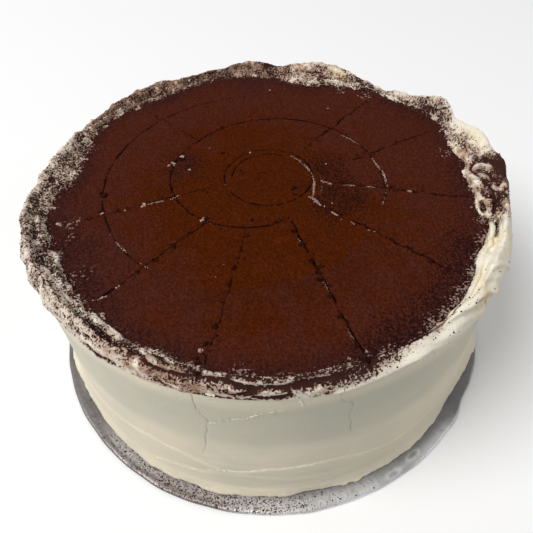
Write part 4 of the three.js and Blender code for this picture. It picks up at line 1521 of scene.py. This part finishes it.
chance = np.clip(1.4 * cover, 0, 0.5) + dotted
chance *= (facing_up > 0.1) & (across > -0.1) & (across < 1) & (cover < 0.8)
chosen = draw.choice(len(placed), GRAINS_ON_CROWN, p=chance / chance.sum())
places = placed[chosen] + draw.normal(0, 0.2, (GRAINS_ON_CROWN, 3)) * (1, 1, 0)
card_angle = draw.normal(*CARD_GRAINS_AT, GRAINS_ON_CARD)
card_radius = draw.uniform(*CARD_GRAINS_BELT, GRAINS_ON_CARD)
card_places = at_polar(card_angle, card_radius, np.full(GRAINS_ON_CARD, CARD_TOP))
places = np.concatenate([places, card_places])
sizes = draw.uniform(*GRAIN_SIZES, (len(places), 1)) * (1.2, 1, 0.8)
sizes *= 1 + lobe_sum(COARSE_GRAINS, to_polar(places)[0])[:, None]
grains = scatter("cocoa_grains", places, sizes, draw.uniform(0, 3, len(places)), 1)
for piece in (crumbs, grains):
    finish_bits(piece, cocoa_finish, COCOA_BIT_TONE)
    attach(piece, "root")

# %% Burrs on the wall
RIDGE_BURRS = [
    (-105.5, 23), (-102, 26), (-97.6, 27), (-92, 31.6), (-85, 33), (-77.6, 34.7), (-72, 31.8),
    (-67, 26.4),
]
BURR_LINES = [
    (RIDGE_BURRS, 150),
    ([(-129, 34), (-119, 39.8), (-117, 37), (-112, 36)], 34),
    ([(-119.7, 13), (-116.4, 17), (-108.4, 19.3)], 26),
    ([(-102.9, 76), (-97.6, 84.1), (-95.2, 85), (-93, 90), (-87, 94)], 30),
    ([(-85.3, 101), (-84.5, 95)], 4),
    ([(-62, 24), (-52, 26), (-45, 24)], 14),
]
BURR_SCATTER = 0.22
BURR_LENGTHS = (0.3, 1.3)
BURR_THICKNESS = 0.12
BURR_HEIGHTS = (0.08, 0.2)
BURR_TONE = {"cover": 0, "yellow_and_crease_shade": 0.3, "stain": 0}

places, sizes, turns = [], [], []
for path, count in BURR_LINES:
    for _ in range(count):
        number = draw.integers(len(path) - 1)
        start, end = path[number : number + 2]
        at, level = np.add(start, np.subtract(end, start) * draw.uniform(0, 1))
        turn = math.radians(at)
        out = Vector((math.cos(turn), math.sin(turn), 0))
        level = level + draw.normal(0, BURR_SCATTER) + FOOT
        _, place, _, _ = wall.ray_cast(out * RAY_FROM + Vector((0, 0, level * MM)), -out)
        places.append(place / MM)
        sizes.append((draw.uniform(*BURR_LENGTHS), BURR_THICKNESS, draw.uniform(*BURR_HEIGHTS)))
        turns.append(turn + math.pi / 2)
burrs = scatter("wall_burrs", places, sizes, turns, 1)
finish_bits(burrs, crown_finish, BURR_TONE)
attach(burrs, "root")

# %% [markdown]
# Studio. A pale floor, a uniform sky for the soft fill, and one large soft lamp to the left, a little
# in front, because the real cake is brightest at its left and darkest at its right. A second, weak
# lamp low at the right keeps that side from going too dark. The floor isn't seen by bounced light, so
# that it can be pale without lighting the wall from below.

# %% Floor, sky and lamps
FLOOR_SIZE = 6
FLOOR_PALE = (0.95, 0.95, 0.95, 1)
KEY_TURN = -158
KEY_RAISE = 53
LAMP_DISTANCE = 4.0
KEY_SIZE = 2.4
KEY_POWER = 127
FILL_TURN = 0
FILL_RAISE = 15
FILL_SIZE = 2.4
FILL_POWER = 18
SKY_STRENGTH = 0.405

clear_selection()
bpy.ops.mesh.primitive_plane_add(size=FLOOR_SIZE)
floor = name_and_settle("floor")
floor.visible_diffuse = False
floor_finish, tree, shader = new_material("floor_paint")
shader.inputs["Base Color"].default_value = FLOOR_PALE
shader.inputs["Roughness"].default_value = 1
shader.inputs["Specular IOR Level"].default_value = 0
floor.data.materials.append(floor_finish)
floor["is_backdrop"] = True

studio = bpy.data.worlds.new("studio")
studio.use_nodes = True
sky = studio.node_tree.nodes["Background"]
sky.inputs["Color"].default_value = (1, 1, 1, 1)
sky.inputs["Strength"].default_value = SKY_STRENGTH
bpy.context.scene.world = studio
bpy.context.scene.view_settings.view_transform = "Standard"


def add_lamp(turn, rise, size, power):
    """A soft round lamp that is turned to the cake from this far round and up."""
    upward = math.radians(rise)
    level = Vector((math.cos(math.radians(turn)), math.sin(math.radians(turn)), 0)) * math.cos(upward)
    toward = level + Vector((0, 0, math.sin(upward)))
    facing = toward.to_track_quat("Z", "Y").to_euler()
    bpy.ops.object.light_add(type="AREA", location=toward * LAMP_DISTANCE, rotation=facing)
    lamp = bpy.context.object
    lamp.data.shape = "DISK"
    lamp.data.size = size
    lamp.data.energy = power


add_lamp(KEY_TURN, KEY_RAISE, KEY_SIZE, KEY_POWER)
add_lamp(FILL_TURN, FILL_RAISE, FILL_SIZE, FILL_POWER)

# %% The sizes of the solids and of the dressed cake
visual_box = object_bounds()
sizes = {"cad": [list(corner) for corner in cad_box], "visual": [list(corner) for corner in visual_box]}
print("cad", sizes["cad"], "visual", sizes["visual"])
